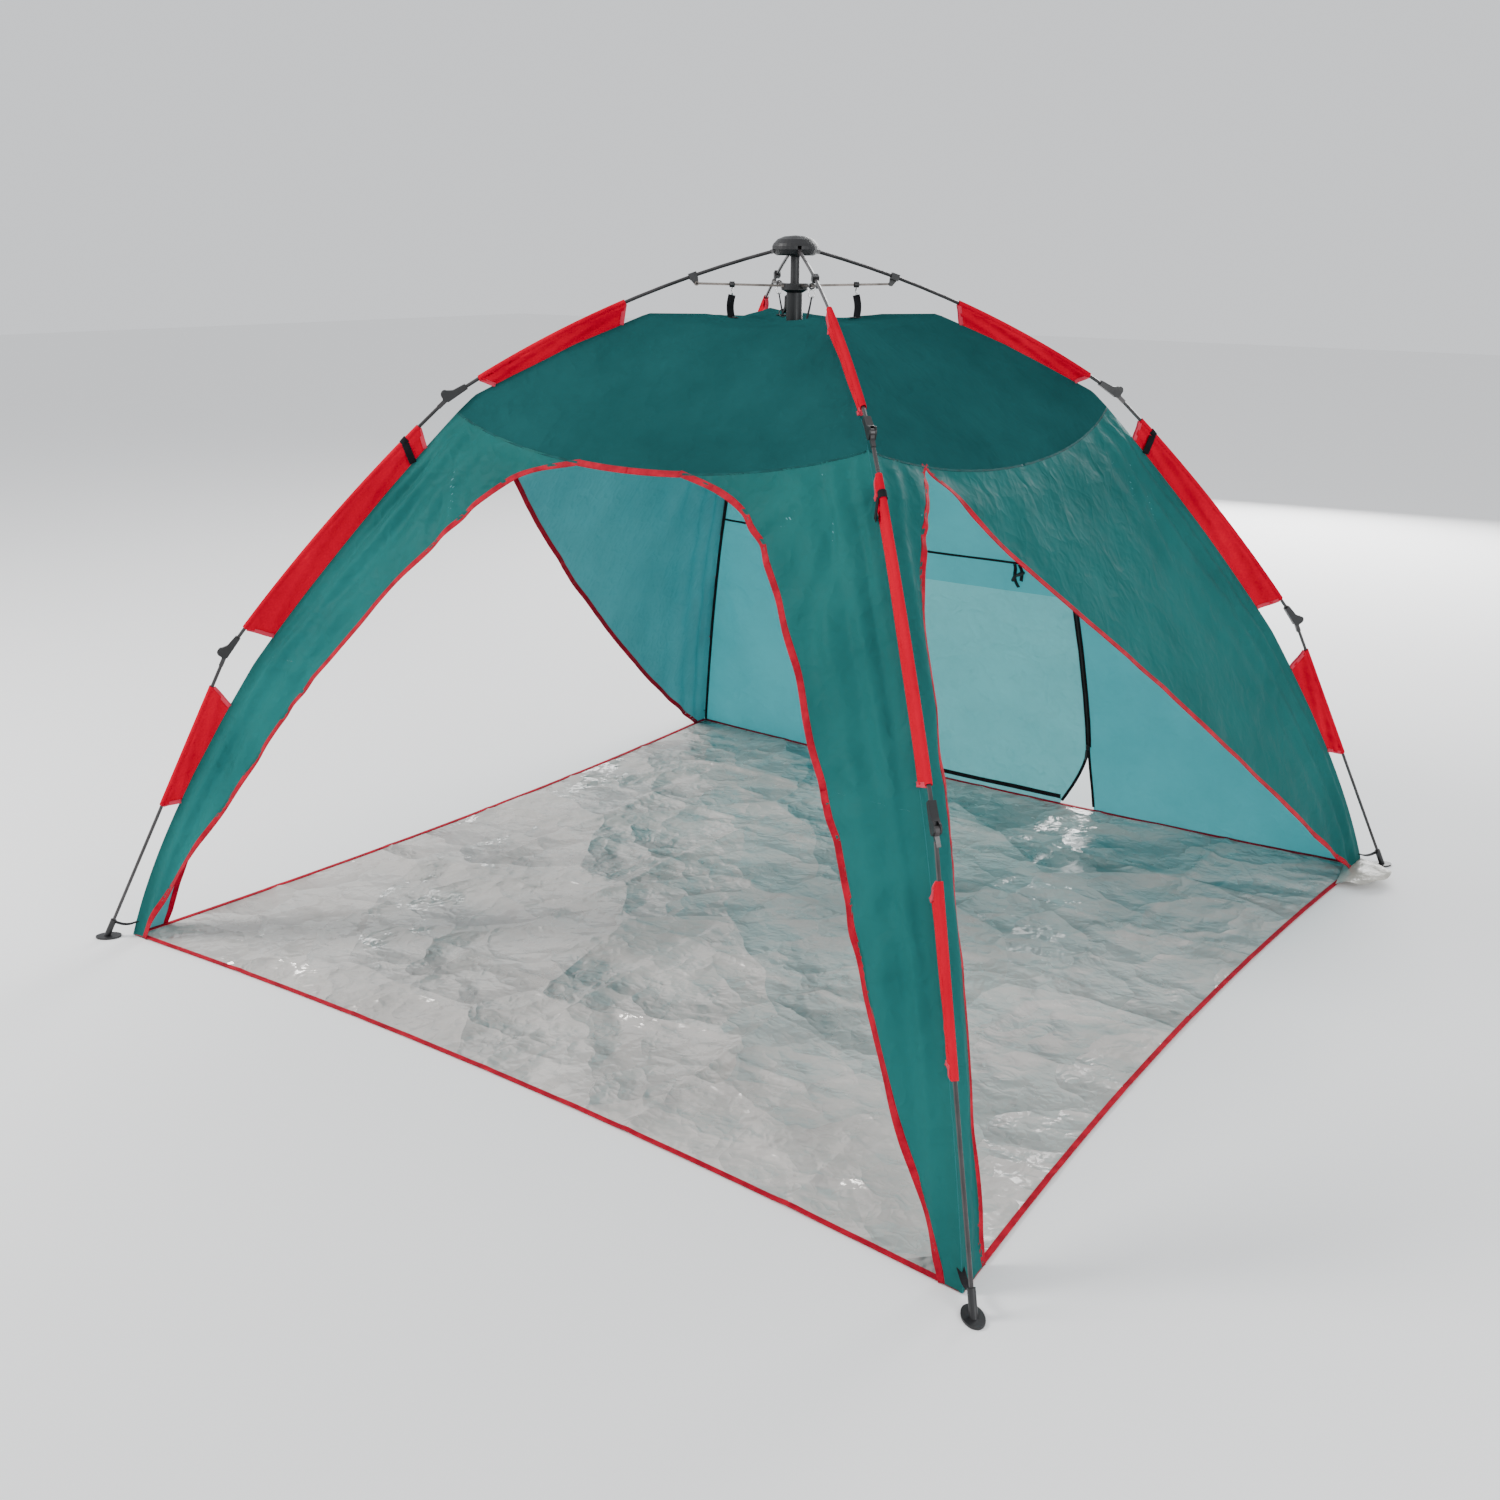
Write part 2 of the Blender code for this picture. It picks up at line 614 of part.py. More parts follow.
def door_panel():
    """Zipped door in the back wall."""
    edge = 0.0015
    rows = []
    for z in heights(HEM_Z, DOOR_TOP - edge, 6):
        xs = [DOOR_LEFT + edge + (DOOR_RIGHT - DOOR_LEFT - 2 * edge) * i / 4 for i in range(5)]
        rows.append([on_wall("back", -x, z) for x in xs])
    return shell(rows, CLOTH_T)


def zip_place():
    """Middle of the zip slider: just inside the back wall, at the door's edge."""
    return on_wall("back", -DOOR_RIGHT, ZIP_LOW) - Vector((0, ZIP_OFFSET, 0))


def zip_slider():
    low, high = [on_wall("back", -DOOR_RIGHT, z) for z in (HEM_Z, 2 * ZIP_LOW)]
    frame = Matrix.Translation(zip_place())
    frame = frame @ Matrix.Rotation(-atan2(high.y - low.y, high.z - low.z), 4, "X")
    return box((-0.006, -0.0022, -0.010), (0.006, 0.0022, 0.010), frame)


def roof():
    """Square rings between the corner lines, from the middle out to the eave seam."""
    stops = [(STRAP_R, STRAP_Z, 0.0), (EAVE_R, EAVE_Z, 0.006)]
    for share in (0.33, 0.67):
        stops.append((EAVE_R + (RIDGE1_R - EAVE_R) * share, EAVE_Z + (RIDGE1_Z - EAVE_Z) * share,
                      0.006 + SEAM_SAG * share ** 2 * 0.6))
    stops.append((RIDGE1_R, RIDGE1_Z + 0.002, SEAM_SAG))
    per_side = 6
    rows = [[Vector((0, 0, ROOF_MID_Z))] * (4 * per_side + 1)]
    for r, z, sag in stops:
        reach = r / sqrt(2)
        ring = []
        for side in (0, 90, 180, 270):
            spin = Matrix.Rotation(radians(side), 4, "Z")
            for i in range(per_side):
                share = -1 + 2 * i / per_side
                drop = sag * (1 - share ** 2)
                out = (half_width(RIDGE1_Z - drop) - half_width(RIDGE1_Z)) if sag == SEAM_SAG else 0
                ring.append(spin @ Vector((reach + out, share * reach, z - drop)))
        rows.append(ring + ring[:1])
    return shell(rows, CLOTH_T)


def groundsheet():
    """Flat sheet with gently hollow edges, resting on the ground."""
    outline = []
    for side in (0, 90, 180, 270):
        spin = Matrix.Rotation(radians(side), 4, "Z")
        for i in range(8):
            share = -1 + 2 * i / 8
            reach = SHEET_HALF - SHEET_CURVE * (1 - share ** 2)
            point = spin @ Vector((reach, share * SHEET_HALF, 0))
            outline.append((point.x, point.y))
    return plate(outline, SHEET_T, Matrix.Translation((0, 0, SHEET_T / 2)))


# ---- assembly -----------------------------------------------------------------------------------------------
def knee_pin(section, cant=0.0):
    return tongue_frame(section, cant) @ Vector((0, PIVOT_OFFSET, 0))


place("hub", hub(), PLASTIC, (0, 0, ROOT_Z))
place("runner", runner(), PLASTIC, (0, 0, ROOT_Z - RUNNER_TOP))
place("release_lever", release_lever(), PLASTIC, (-RUNNER_R - 0.0012, 0, ROOT_Z - RUNNER_TOP - 0.030))

PIN1, PIN2 = knee_pin("middle"), knee_pin("lower", CANT)
STRUT_ROOT = strut_ends()[0]
RIDGE = [(EAVE_R, EAVE_Z), (RIDGE1_R, RIDGE1_Z), (RIDGE2_R, RIDGE2_Z), (HEM_R, HEM_Z)]
leg_pieces = {
    "upper_pole": (upper_pole(), POLE, ROOT),
    "pole_bracket": (pole_bracket(), PLASTIC, ROOT),
    "upper_knee": (knee_fork("upper", "middle"), PLASTIC, ROOT),
    "upper_sleeve": (sleeve("upper", SLEEVE_SPANS["upper"], RIDGE[0:2]), SLEEVE_CLOTH, ROOT),
    "middle_pole": (middle_pole(), POLE, PIN1),
    "lower_knee": (knee_fork("middle", "lower", CANT), PLASTIC, PIN1),
    "middle_sleeve": (sleeve("middle", SLEEVE_SPANS["middle"], RIDGE[1:3]), SLEEVE_CLOTH, PIN1),
    "lower_pole": (lower_pole(), POLE, PIN2),
    "foot": (foot(), PLASTIC, PIN2),
    "lower_sleeve": (sleeve("lower", SLEEVE_SPANS["lower"], RIDGE[2:4]), SLEEVE_CLOTH, PIN2),
    "strut": (strut(), STEEL, STRUT_ROOT),
    "roof_strap": (roof_strap(), WEBBING, STRUT_ROOT),
}
for leg, turn in LEGS.items():
    for piece, (mesh, mat, pivot) in leg_pieces.items():
        place(f"{piece}_{leg}", mesh, mat, pivot, turn)

place("canopy_roof", roof(), ROOF_CLOTH, (0, 0, ROOT_Z))
place("front_column_left", front_column(-1), ROOF_CLOTH)
place("front_column_right", front_column(1), ROOF_CLOTH)
place("wing_left", wing(-1), ROOF_CLOTH)
place("wing_right", wing(1), ROOF_CLOTH)
place("back_wall", back_wall(), ROOF_CLOTH)
place("door_panel", door_panel(), ROOF_CLOTH)
place("zip_slider", zip_slider(), PLASTIC, zip_place())
place("groundsheet", groundsheet(), SHEET_FILM)
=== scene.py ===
"""Visual model of the pop-up beach shelter: cloth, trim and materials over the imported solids.

Metres, +Z up. The origin is on the ground under the hub and the arched front faces -Y. Every cloth surface is
one continuous shape at rest, divided at the corners, the eave seam and the lower knees, so that each part can
ride on the pole section it is sewn to.
"""
from math import cos, pi, radians, sin, sqrt

import bpy
import numpy as np
from mathutils import Matrix, Vector


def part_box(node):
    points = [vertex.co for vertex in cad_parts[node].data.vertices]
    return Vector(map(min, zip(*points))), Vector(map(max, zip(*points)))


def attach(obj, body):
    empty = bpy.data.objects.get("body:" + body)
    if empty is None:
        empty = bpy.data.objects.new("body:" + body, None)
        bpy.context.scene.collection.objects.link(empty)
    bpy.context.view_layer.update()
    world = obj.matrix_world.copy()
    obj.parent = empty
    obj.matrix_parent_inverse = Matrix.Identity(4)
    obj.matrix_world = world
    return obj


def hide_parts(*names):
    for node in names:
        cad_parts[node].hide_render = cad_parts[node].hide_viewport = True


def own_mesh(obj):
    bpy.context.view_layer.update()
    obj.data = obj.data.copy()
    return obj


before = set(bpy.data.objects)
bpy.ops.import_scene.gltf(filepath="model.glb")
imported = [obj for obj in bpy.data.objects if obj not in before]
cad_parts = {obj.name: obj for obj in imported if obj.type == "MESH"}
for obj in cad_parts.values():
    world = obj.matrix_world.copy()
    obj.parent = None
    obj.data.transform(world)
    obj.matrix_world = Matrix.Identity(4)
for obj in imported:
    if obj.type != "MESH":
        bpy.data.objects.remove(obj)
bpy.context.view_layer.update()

# ---- sizes -------------------------------------------------------------------------------------
LEGS = {"front_left": 225, "front_right": 315, "rear_right": 45, "rear_left": 135}
SIDES = {"front": 270, "right": 0, "back": 90, "left": 180}
LEG_AT = {angle: leg for leg, angle in LEGS.items()}

EAVE = (0.400, 1.726)                  # corner line in a leg's plane: distance from the middle, height
KNEE1, KNEE2, HEM = (0.915, 1.478), (1.505, 0.798), (1.912, 0.003)
SEAM_SAG = 0.093                       # the eave seam hangs this much lower at mid-side
SEAM_MID = KNEE1[1] - SEAM_SAG
LEVEL2 = 0.812                         # height where the cloth passes from the middle to the lower poles
MIDDLE_BOW, LOWER_BOW = 0.018, 0.034   # outward bow of the corner line
FLOOR_HALF, FLOOR_CURVE = 1.345, 0.055
CLOTH_T = 0.0006
# the front arch: share of the seam's height, distance from mid-side
ARCH = ((0.0, 1.305), (0.05, 1.278), (0.325, 1.030), (0.505, 0.890), (0.65, 0.745), (0.737, 0.660),
        (0.83, 0.550), (0.90, 0.465), (0.945, 0.385), (0.975, 0.310), (0.992, 0.230), (1.0, 0.160))
DOOR_X, DOOR_FAR_X = 0.42, 0.45        # the door's zip and its far seam, from mid-side
ZIP_LOW = 0.25                         # the zip is open below this height
BACK_SEAM = 0.92                       # height of the seam across the back wall

# the frame's joints in a leg's plane: distance from the middle, height
ROOT, POLE_KNEE1, POLE_KNEE2, FOOT = (0.040, 1.900), (0.942, 1.512), (1.579, 0.825), (1.98, 0.012)
POLES = {"upper": (ROOT, POLE_KNEE1, 0.040),          # start, end and outward bow
         "middle": (POLE_KNEE1, POLE_KNEE2, 0.020),
         "lower": (POLE_KNEE2, FOOT, 0.0)}

rng = np.random.default_rng(11)


# ---- materials ---------------------------------------------------------------------------------
class Shader:
    """A Principled material with short helpers for its texture nodes."""

    def __init__(self, name, colour, roughness, **inputs):
        self.mat = bpy.data.materials.new(name)
        self.mat.use_nodes = True
        self.tree = self.mat.node_tree
        self.main = self.tree.nodes["Principled BSDF"]
        self.out = self.tree.nodes["Material Output"]
        self.main.inputs["Base Color"].default_value = (*colour, 1)
        self.main.inputs["Roughness"].default_value = roughness
        for key, value in inputs.items():
            self.main.inputs[key.replace("_", " ")].default_value = value
        self.colour = colour
        self.coords = self.tree.nodes.new("ShaderNodeTexCoord").outputs["Object"]
        self.height = None

    def node(self, kind, **values):
        made = self.tree.nodes.new(kind)
        for key, value in values.items():
            if hasattr(made, key) and key not in made.inputs:
                setattr(made, key, value)
            else:
                made.inputs[key].default_value = value
        return made

    def link(self, source, target):
        self.tree.links.new(source, target)

    def noise(self, scale, detail):
        made = self.node("ShaderNodeTexNoise", Scale=scale, Detail=detail, Roughness=0.55)
        self.link(self.coords, made.inputs["Vector"])
        return made.outputs["Fac"]

    def facets(self, scale):
        """Flat facets with sharp creases between them, as in crumpled film."""
        shift = self.node("ShaderNodeTexNoise", Scale=scale * 0.8, Detail=2.0)
        self.link(self.coords, shift.inputs["Vector"])
        mix = self.node("ShaderNodeMix", data_type="VECTOR")
        mix.inputs["Factor"].default_value = 0.22
        self.link(self.coords, mix.inputs["A"])
        self.link(shift.outputs["Color"], mix.inputs["B"])
        cells = self.node("ShaderNodeTexVoronoi", Scale=scale, Randomness=1.0)
        self.link(mix.outputs["Result"], cells.inputs["Vector"])
        return cells.outputs["Distance"]

    def ramp(self, fac, from_low, from_high, to_low, to_high):
        made = self.node("ShaderNodeMapRange")
        self.link(fac, made.inputs["Value"])
        values = {"From Min": from_low, "From Max": from_high, "To Min": to_low, "To Max": to_high}
        for key, value in values.items():
            made.inputs[key].default_value = value
        return made.outputs["Result"]

    def vary(self, fac, dark, light):
        """The base colour runs from dark to light times itself with a texture."""
        share = self.ramp(fac, 0.35, 0.65, dark, light)
        mix = self.node("ShaderNodeMix", data_type="RGBA", blend_type="MULTIPLY")
        mix.inputs["Factor"].default_value = 1
        mix.inputs["A"].default_value = (*self.colour, 1)
        self.link(share, mix.inputs["B"])
        self.link(mix.outputs["Result"], self.main.inputs["Base Color"])
        return self

    def rough(self, fac, low, high):
        """The roughness runs from low to high with a texture."""
        self.link(self.ramp(fac, 0.3, 0.7, low, high), self.main.inputs["Roughness"])
        return self

    def bump(self, fac, distance, strength):
        """Adds relief to what is there already."""
        made = self.node("ShaderNodeBump", Distance=distance, Strength=strength)
        self.link(fac, made.inputs["Height"])
        if self.height is not None:
            self.link(self.height, made.inputs["Normal"])
        self.height = made.outputs["Normal"]
        self.link(self.height, self.main.inputs["Normal"])
        return self

    def weave(self, scale, distance, strength):
        """Crossed threads: the product of a wave along X and one along Z."""
        product = self.node("ShaderNodeMath", operation="MULTIPLY")
        for slot, direction in enumerate(("X", "Z")):
            wave = self.node("ShaderNodeTexWave", wave_type="BANDS", bands_direction=direction, Scale=scale)
            self.link(self.coords, wave.inputs["Vector"])
            self.link(wave.outputs["Fac"], product.inputs[slot])
        return self.bump(product.outputs["Value"], distance, strength)

    def glow_through(self, colour, share):
        """Thin cloth lets light through."""
        thin = self.node("ShaderNodeBsdfTranslucent")
        thin.inputs["Color"].default_value = (*colour, 1)
        if self.height is not None:
            self.link(self.height, thin.inputs["Normal"])
        mix = self.node("ShaderNodeMixShader", Fac=share)
        self.link(self.main.outputs["BSDF"], mix.inputs[1])
        self.link(thin.outputs["BSDF"], mix.inputs[2])
        self.link(mix.outputs["Shader"], self.out.inputs["Surface"])
        return self


def cloth_shader(name, colour, through, share, creases=0.5, roughness=0.5, gloss=0.03):
    """Coated cloth: soft folds, sharp creases, the weave, and light coming through from behind."""
    made = Shader(name, colour, roughness, Sheen_Weight=gloss / 3, Sheen_Roughness=0.4,
                  Sheen_Tint=(*colour, 1), Specular_IOR_Level=gloss)
    made.bump(made.noise(5, 4), 0.016, 0.5).bump(made.facets(5.5), 0.030, creases)
    made.bump(made.facets(15), 0.008, creases).weave(220, 0.0002, 0.3)
    made.vary(made.noise(3.5, 5), 0.86, 1.12)
    made.rough(made.noise(14, 2), roughness - 0.08, roughness + 0.1)
    return made.glow_through(through, share).mat


TEAL = cloth_shader("teal canopy cloth", (0.016, 0.105, 0.096), (0.10, 0.70, 0.70), 0.26)
# the canopy's inner layer is a lighter copy of the teal cloth: painted glow of the light coming through it
CANOPY_INSIDE_PAINTED_GLOW = cloth_shader("canopy inside, painted glow", (0.16, 0.42, 0.46), (0.22, 0.70, 0.77), 0.40)
# the roof panels use a darker copy of the teal cloth: painted shade
ROOF_PAINTED_SHADE_TEAL = cloth_shader("roof cloth, painted shade", (0.013, 0.074, 0.075), (0.06, 0.34, 0.34), 0.14, gloss=0.0)
DOOR_CLOTH = cloth_shader("door cloth", (0.29, 0.52, 0.545), (0.55, 0.86, 0.90), 0.42, 0.9, 0.32, 0.30)
# the back wall and the door's outer layer use a lighter copy of the teal cloth: painted glow of the light
# behind it
BACK_PAINTED_GLOW_TEAL = cloth_shader("back wall cloth, painted glow", (0.02, 0.22, 0.21), (0.25, 0.85, 0.86), 0.42)
RED = cloth_shader("red sleeve cloth", (0.56, 0.0, 0.022), (0.9, 0.0, 0.04), 0.14, gloss=0.0)
# a lighter pink copy of the sleeve red: painted highlight on the folded sleeve ends
SLEEVE_FOLD_HIGHLIGHT = cloth_shader("sleeve fold painted highlight", (0.66, 0.05, 0.09), (0.9, 0.12, 0.18), 0.2)


def webbing_shader(name, colour, roughness):
    """Coarse woven tape."""
    made = Shader(name, colour, roughness, Sheen_Weight=0.03, Sheen_Roughness=0.5, Specular_IOR_Level=0.08)
    made.weave(160, 0.0006, 0.8).bump(made.noise(60, 2), 0.0006, 0.4)
    return made.vary(made.noise(30, 3), 0.75, 1.25).mat


BINDING = webbing_shader("red binding", (0.36, 0.0, 0.016), 0.6)
BLACK_WEB = webbing_shader("black webbing", (0.012, 0.012, 0.014), 0.75)
HOOK_BAND = webbing_shader("hook-and-loop band", (0.010, 0.010, 0.012), 0.9)
DARK_SEAM = webbing_shader("dark seam tape", (0.003, 0.060, 0.060), 0.65)

film = Shader("silver groundsheet", (0.52, 0.490, 0.462), 0.2, Metallic=0.08, Specular_IOR_Level=0.9)
film.bump(film.facets(2.2), 0.34, 0.6).bump(film.facets(6.0), 0.085, 0.6).bump(film.facets(17), 0.012, 0.4)
film.vary(film.noise(1.6, 6), 0.84, 1.14).rough(film.noise(6, 4), 0.14, 0.34)
FILM = film.mat
flap = Shader("grey skirt film", (0.40, 0.385, 0.34), 0.35, Specular_IOR_Level=0.6)
flap.bump(flap.noise(18, 4), 0.02, 0.6).vary(flap.noise(8, 3), 0.85, 1.1)
FLAP = flap.mat

plastic = Shader("black plastic", (0.008, 0.008, 0.009), 0.46)
plastic.bump(plastic.noise(900, 2), 0.0002, 0.5).rough(plastic.noise(25, 4), 0.34, 0.55)
PLASTIC = plastic.vary(plastic.noise(12, 4), 0.75, 1.5).mat
rodmat = Shader("fibreglass rod", (0.020, 0.017, 0.018), 0.32, Coat_Weight=0.25, Coat_Roughness=0.2)
rodmat.bump(rodmat.noise(140, 3), 0.0003, 0.5).rough(rodmat.noise(30, 3), 0.25, 0.48)
ROD = rodmat.vary(rodmat.noise(20, 4), 0.7, 1.6).mat
steel = Shader("dark strut steel", (0.13, 0.115, 0.105), 0.38, Metallic=0.9)
steel.bump(steel.noise(300, 2), 0.0002, 0.4).rough(steel.noise(40, 4), 0.28, 0.5)
STEEL = steel.vary(steel.noise(30, 4), 0.7, 1.3).mat
bright = Shader("bright ring steel", (0.62, 0.61, 0.60), 0.22, Metallic=1.0)
BRIGHT = bright.rough(bright.noise(60, 3), 0.15, 0.32).mat


# ---- the canopy's shape ------------------------------------------------------------------------
def ridge_r(z):
    """Distance of the corner line from the middle, with its bow."""
    z = np.asarray(z, float)
    straight = np.interp(z, (HEM[1], KNEE2[1], KNEE1[1]), (HEM[0], KNEE2[0], KNEE1[0]))
    upper = np.clip((z - KNEE2[1]) / (KNEE1[1] - KNEE2[1]), 0, 1)
    lower = np.clip(z / KNEE2[1], 0, 1)
    middle_bow = 4 * MIDDLE_BOW * upper * (1 - upper)
    lower_bow = 4 * LOWER_BOW * lower * (1 - lower) * (1.2 - 0.4 * lower)
    return straight + middle_bow + lower_bow


def half_width(z):
    """Half the width of a wall at a height."""
    return ridge_r(z) / sqrt(2)


# turn, phase and frequency of each set of folds
WAVES = [(rng.uniform(0, 2 * pi), rng.uniform(0, 2 * pi), f) for f in np.geomspace(5, 42, 22)]


def crumple(a, b, seed):
    """Sharp-crested folds of mixed sizes, between about -1 and 1."""
    total = np.zeros_like(a)
    for k, (turn, phase, f) in enumerate(WAVES):
        turn, phase = turn + seed * 1.7 + k, phase + seed * 2.3
        bend = 0.35 * np.sin(3.1 * a + 1.3 * seed + k) + 0.35 * np.sin(2.7 * b - seed + 2 * k)
        wave = np.sin(f * (a * cos(turn) + b * sin(turn)) + phase + 2.2 * bend)
        total += (1 - 2 * np.abs(wave)) * (5 / f) ** 0.85
    return total / 3.2


def pleats(a, b, at, count, reach, seed):
    """Folds that run out from a point, such as a sewn corner."""
    da, db = a - at[0], b - at[1]
    far = np.hypot(da, db)
    angle = np.arctan2(db, da)
    fold = np.sin(count * angle + seed) + 0.5 * np.sin(1.4 * count * angle + 2.1 * seed + 1.5 * far)
    return fold * np.clip((far - 0.06) / 0.20, 0, 1) ** 1.5 * np.exp(-far / reach)


def spin(side):
    """Turn from a wall that faces +X to a side's own direction."""
    angle = radians(SIDES[side])
    return np.array(((cos(angle), -sin(angle), 0), (sin(angle), cos(angle), 0), (0, 0, 1)))


def wall(side, x, z):
    """Points of a side's wall. x runs left to right seen from inside; z is the height at mid-side."""
    x, z = np.asarray(x, float), np.asarray(z, float)
    seed = 1 + list(SIDES).index(side)
    share = np.clip(x / half_width(z), -1, 1)
    level = np.clip((z - HEM[1]) / (SEAM_MID - HEM[1]), 0, 1)
    height = z + level ** 4 * SEAM_SAG * share ** 2
    hollow = FLOOR_CURVE * (1 - share ** 2) * (1 - level) ** 5
    belly = 0.016 * (1 - share ** 2) * np.sin(pi * level)
    corner = np.clip((1 - np.abs(share)) * half_width(z) / 0.06, 0, 1)
    ends = np.clip(level / 0.03, 0, 1) * np.clip((1 - level) / 0.02, 0, 1)
    folds = 0.0030 * crumple(x, height, seed)
    for sign in (-1, 1):
        folds = folds + 0.0095 * pleats(x, height, (sign * 0.64, 1.44), 15, 0.30, seed + sign)
        folds = folds + 0.0080 * pleats(x, height, (sign * 1.06, 0.80), 13, 0.26, 2 * seed + sign)
        folds = folds + 0.0060 * pleats(x, height, (sign * 1.33, 0.02), 13, 0.40, 3 * seed + sign)
    if side in ("front", "right", "left"):
        inward = half_width(z) - np.abs(x)
        lengthwise = np.sin(58 * inward / (0.60 + 0.9 * inward) + 2.2 * np.sin(2.3 * z + seed) + seed)
        folds = folds + 0.0085 * lengthwise * np.exp(-inward / 0.28) * np.clip(inward / 0.06, 0, 1)
    below_seam = 0.016 * np.exp(-((level - 0.955) / 0.03) ** 2) * (0.4 + 0.6 * share ** 2)
    out = half_width(height) - hollow - belly + (folds + below_seam) * corner * ends
    return np.stack([out, share * half_width(height), height], -1) @ spin(side).T


# the roof's corner line: share of the way to the eave, distance from the middle, height
ROOF_Q = (0.0, 0.12, 0.28, 0.42, 0.62, 0.80, 0.93, 1.0)
ROOF_R = (0.0, 0.10, 0.24, 0.40, 0.60, 0.76, 0.87, KNEE1[0])
ROOF_Z = (1.693, 1.712, 1.732, 1.733, 1.652, 1.575, 1.520, KNEE1[1])


def roof(side, x, q):
    """Points of a side's roof panel. x is the share of the half width; q runs from the middle to the eave."""
    share, q = np.broadcast_arrays(np.asarray(x, float), np.asarray(q, float))
    seed = 6 + list(SIDES).index(side)
    r = np.interp(q, ROOF_Q, ROOF_R)
    top = np.interp(q, ROOF_Q, ROOF_Z)
    sag = 0.010 + (SEAM_SAG - 0.010) * np.clip((q - 0.3) / 0.7, 0, 1) ** 1.3
    drop = sag * np.clip(q / 0.3, 0, 1) * (1 - share ** 2)
    height = top - drop
    flare = (half_width(KNEE1[1] - SEAM_SAG * (1 - share ** 2)) - half_width(KNEE1[1])) * q ** 5
    reach = r / sqrt(2) + flare
    across = share * reach
    corner = np.clip((1 - np.abs(share)) * reach / 0.05, 0, 1)
    ends = np.clip(q / 0.15, 0, 1) * np.clip((1 - q) / 0.04, 0, 1)
    folds = 0.0034 * crumple(across, r, seed)
    for sign in (-1, 1):
        folds = folds + 0.0050 * pleats(across, r, (sign * 0.64, 0.92), 12, 0.28, seed + sign)
        folds = folds + 0.0050 * pleats(across, r, (sign * 0.12, 0.17), 9, 0.16, seed - sign)
    points = np.stack([reach, across, height + folds * corner * ends], -1)
    return points @ spin(side).T


# the arch's points rounded off by two moving averages
ARCH_LEVELS = np.linspace(0, 1, 401)
ARCH_SMOOTH = np.interp(ARCH_LEVELS, *zip(*ARCH))
for window in (21, 9):
    padded = np.concatenate([2 * ARCH_SMOOTH[0] - ARCH_SMOOTH[window:0:-1], ARCH_SMOOTH,
                             2 * ARCH_SMOOTH[-1] - ARCH_SMOOTH[-2:-window - 2:-1]])
    ARCH_SMOOTH = np.convolve(padded, np.ones(window) / window, "same")[window:-window]


def arch_x(z):
    """Distance of the front arch's edge from mid-side at a height."""
    return np.interp(np.asarray(z) / SEAM_MID, ARCH_LEVELS, ARCH_SMOOTH)


def strip_edge(z):
    """Width of a front column's side strip, beside its pole."""
    share = np.clip((np.asarray(z) - 0.85) / (SEAM_MID - 0.85), 0, 1)
    return 0.100 + 0.137 * share ** 2


def wing_front(z):
    """Front edge of a wing at a height: from the rear foot up to the front of the side opening."""
    level = np.clip((np.asarray(z) - HEM[1]) / (SEAM_MID - HEM[1]), 0, 1)
    low, high = half_width(HEM[1]) - 0.06, -(half_width(SEAM_MID) - strip_edge(SEAM_MID)) + 0.006
    return low + (high - low) * level ** 0.93


def door_gap(z):
    """Width of the open part of the door's zip, below the slider."""
    share = np.clip((ZIP_LOW - np.asarray(z)) / ZIP_LOW, 0, 1)
    return 0.115 * share ** 1.4


# ---- making and fastening pieces ---------------------------------------------------------------
def new_object(name, points, faces, materials, indices=None, normals=None):
    mesh = bpy.data.meshes.new(name)
    mesh.from_pydata(points, [], faces)
    for mat in materials:
        mesh.materials.append(mat)
    if indices is not None:
        mesh.polygons.foreach_set("material_index", indices)
    mesh.shade_smooth()
    if normals is not None:
        mesh.normals_split_custom_set_from_vertices(normals)
    obj = bpy.data.objects.new(name, mesh)
    bpy.context.scene.collection.objects.link(obj)
    return obj


def grid_faces(rows, columns, start=0, flip=False):
    """Quads between the points of a grid."""
    faces = []
    for i in range(rows - 1):
        for j in range(columns - 1):
            a = start + i * columns + j
            quad = (a, a + 1, a + columns + 1, a + columns)
            faces.append(quad[::-1] if flip else quad)
    return faces


def surface_normals(surface, side, xs, vs, step=0.002):
    """Outward normals of a continuous surface, so that its pieces shade as one."""
    across = surface(side, xs + step, vs) - surface(side, xs - step, vs)
    up = surface(side, xs, vs + step) - surface(side, xs, vs - step)
    normal = np.cross(across, up)
    normal /= np.maximum(np.linalg.norm(normal, axis=-1, keepdims=True), 1e-9)
    return normal


def two_layers(name, points, normal, materials):
    """Thin cloth: an outer layer and an inner one with its own material."""
    rows, columns = points.shape[:2]
    outer = (points + normal * CLOTH_T).reshape(-1, 3)
    inner = (points - normal * CLOTH_T).reshape(-1, 3)
    count = rows * columns
    turn = np.cross(points[0, 1] - points[0, 0], points[1, 0] - points[0, 0])
    forward = float(np.dot(turn, normal[0, 0])) > 0
    faces = grid_faces(rows, columns, 0, not forward) + grid_faces(rows, columns, count, forward)
    indices = [0] * (len(faces) // 2) + [1] * (len(faces) // 2)
    flat = normal.reshape(-1, 3)
    normals = np.concatenate([flat, -flat]).tolist()
    return new_object(name, np.concatenate([outer, inner]).tolist(), faces, materials, indices, normals)


# pole section that carries a zone of cloth, and two points of the zone's corner line
ZONES = {"roof": ("upper", EAVE, KNEE1), "middle": ("middle", KNEE1, KNEE2), "lower": ("lower", KNEE2, HEM)}


def fasten(obj, side, sign, zone):
    """The piece rides on its pole section."""
    section, low, high = ZONES[zone]
    leg = LEG_AT[(SIDES[side] + 45 * sign) % 360]
    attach(obj, f"{section}_{leg}")
    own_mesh(obj)
    return obj


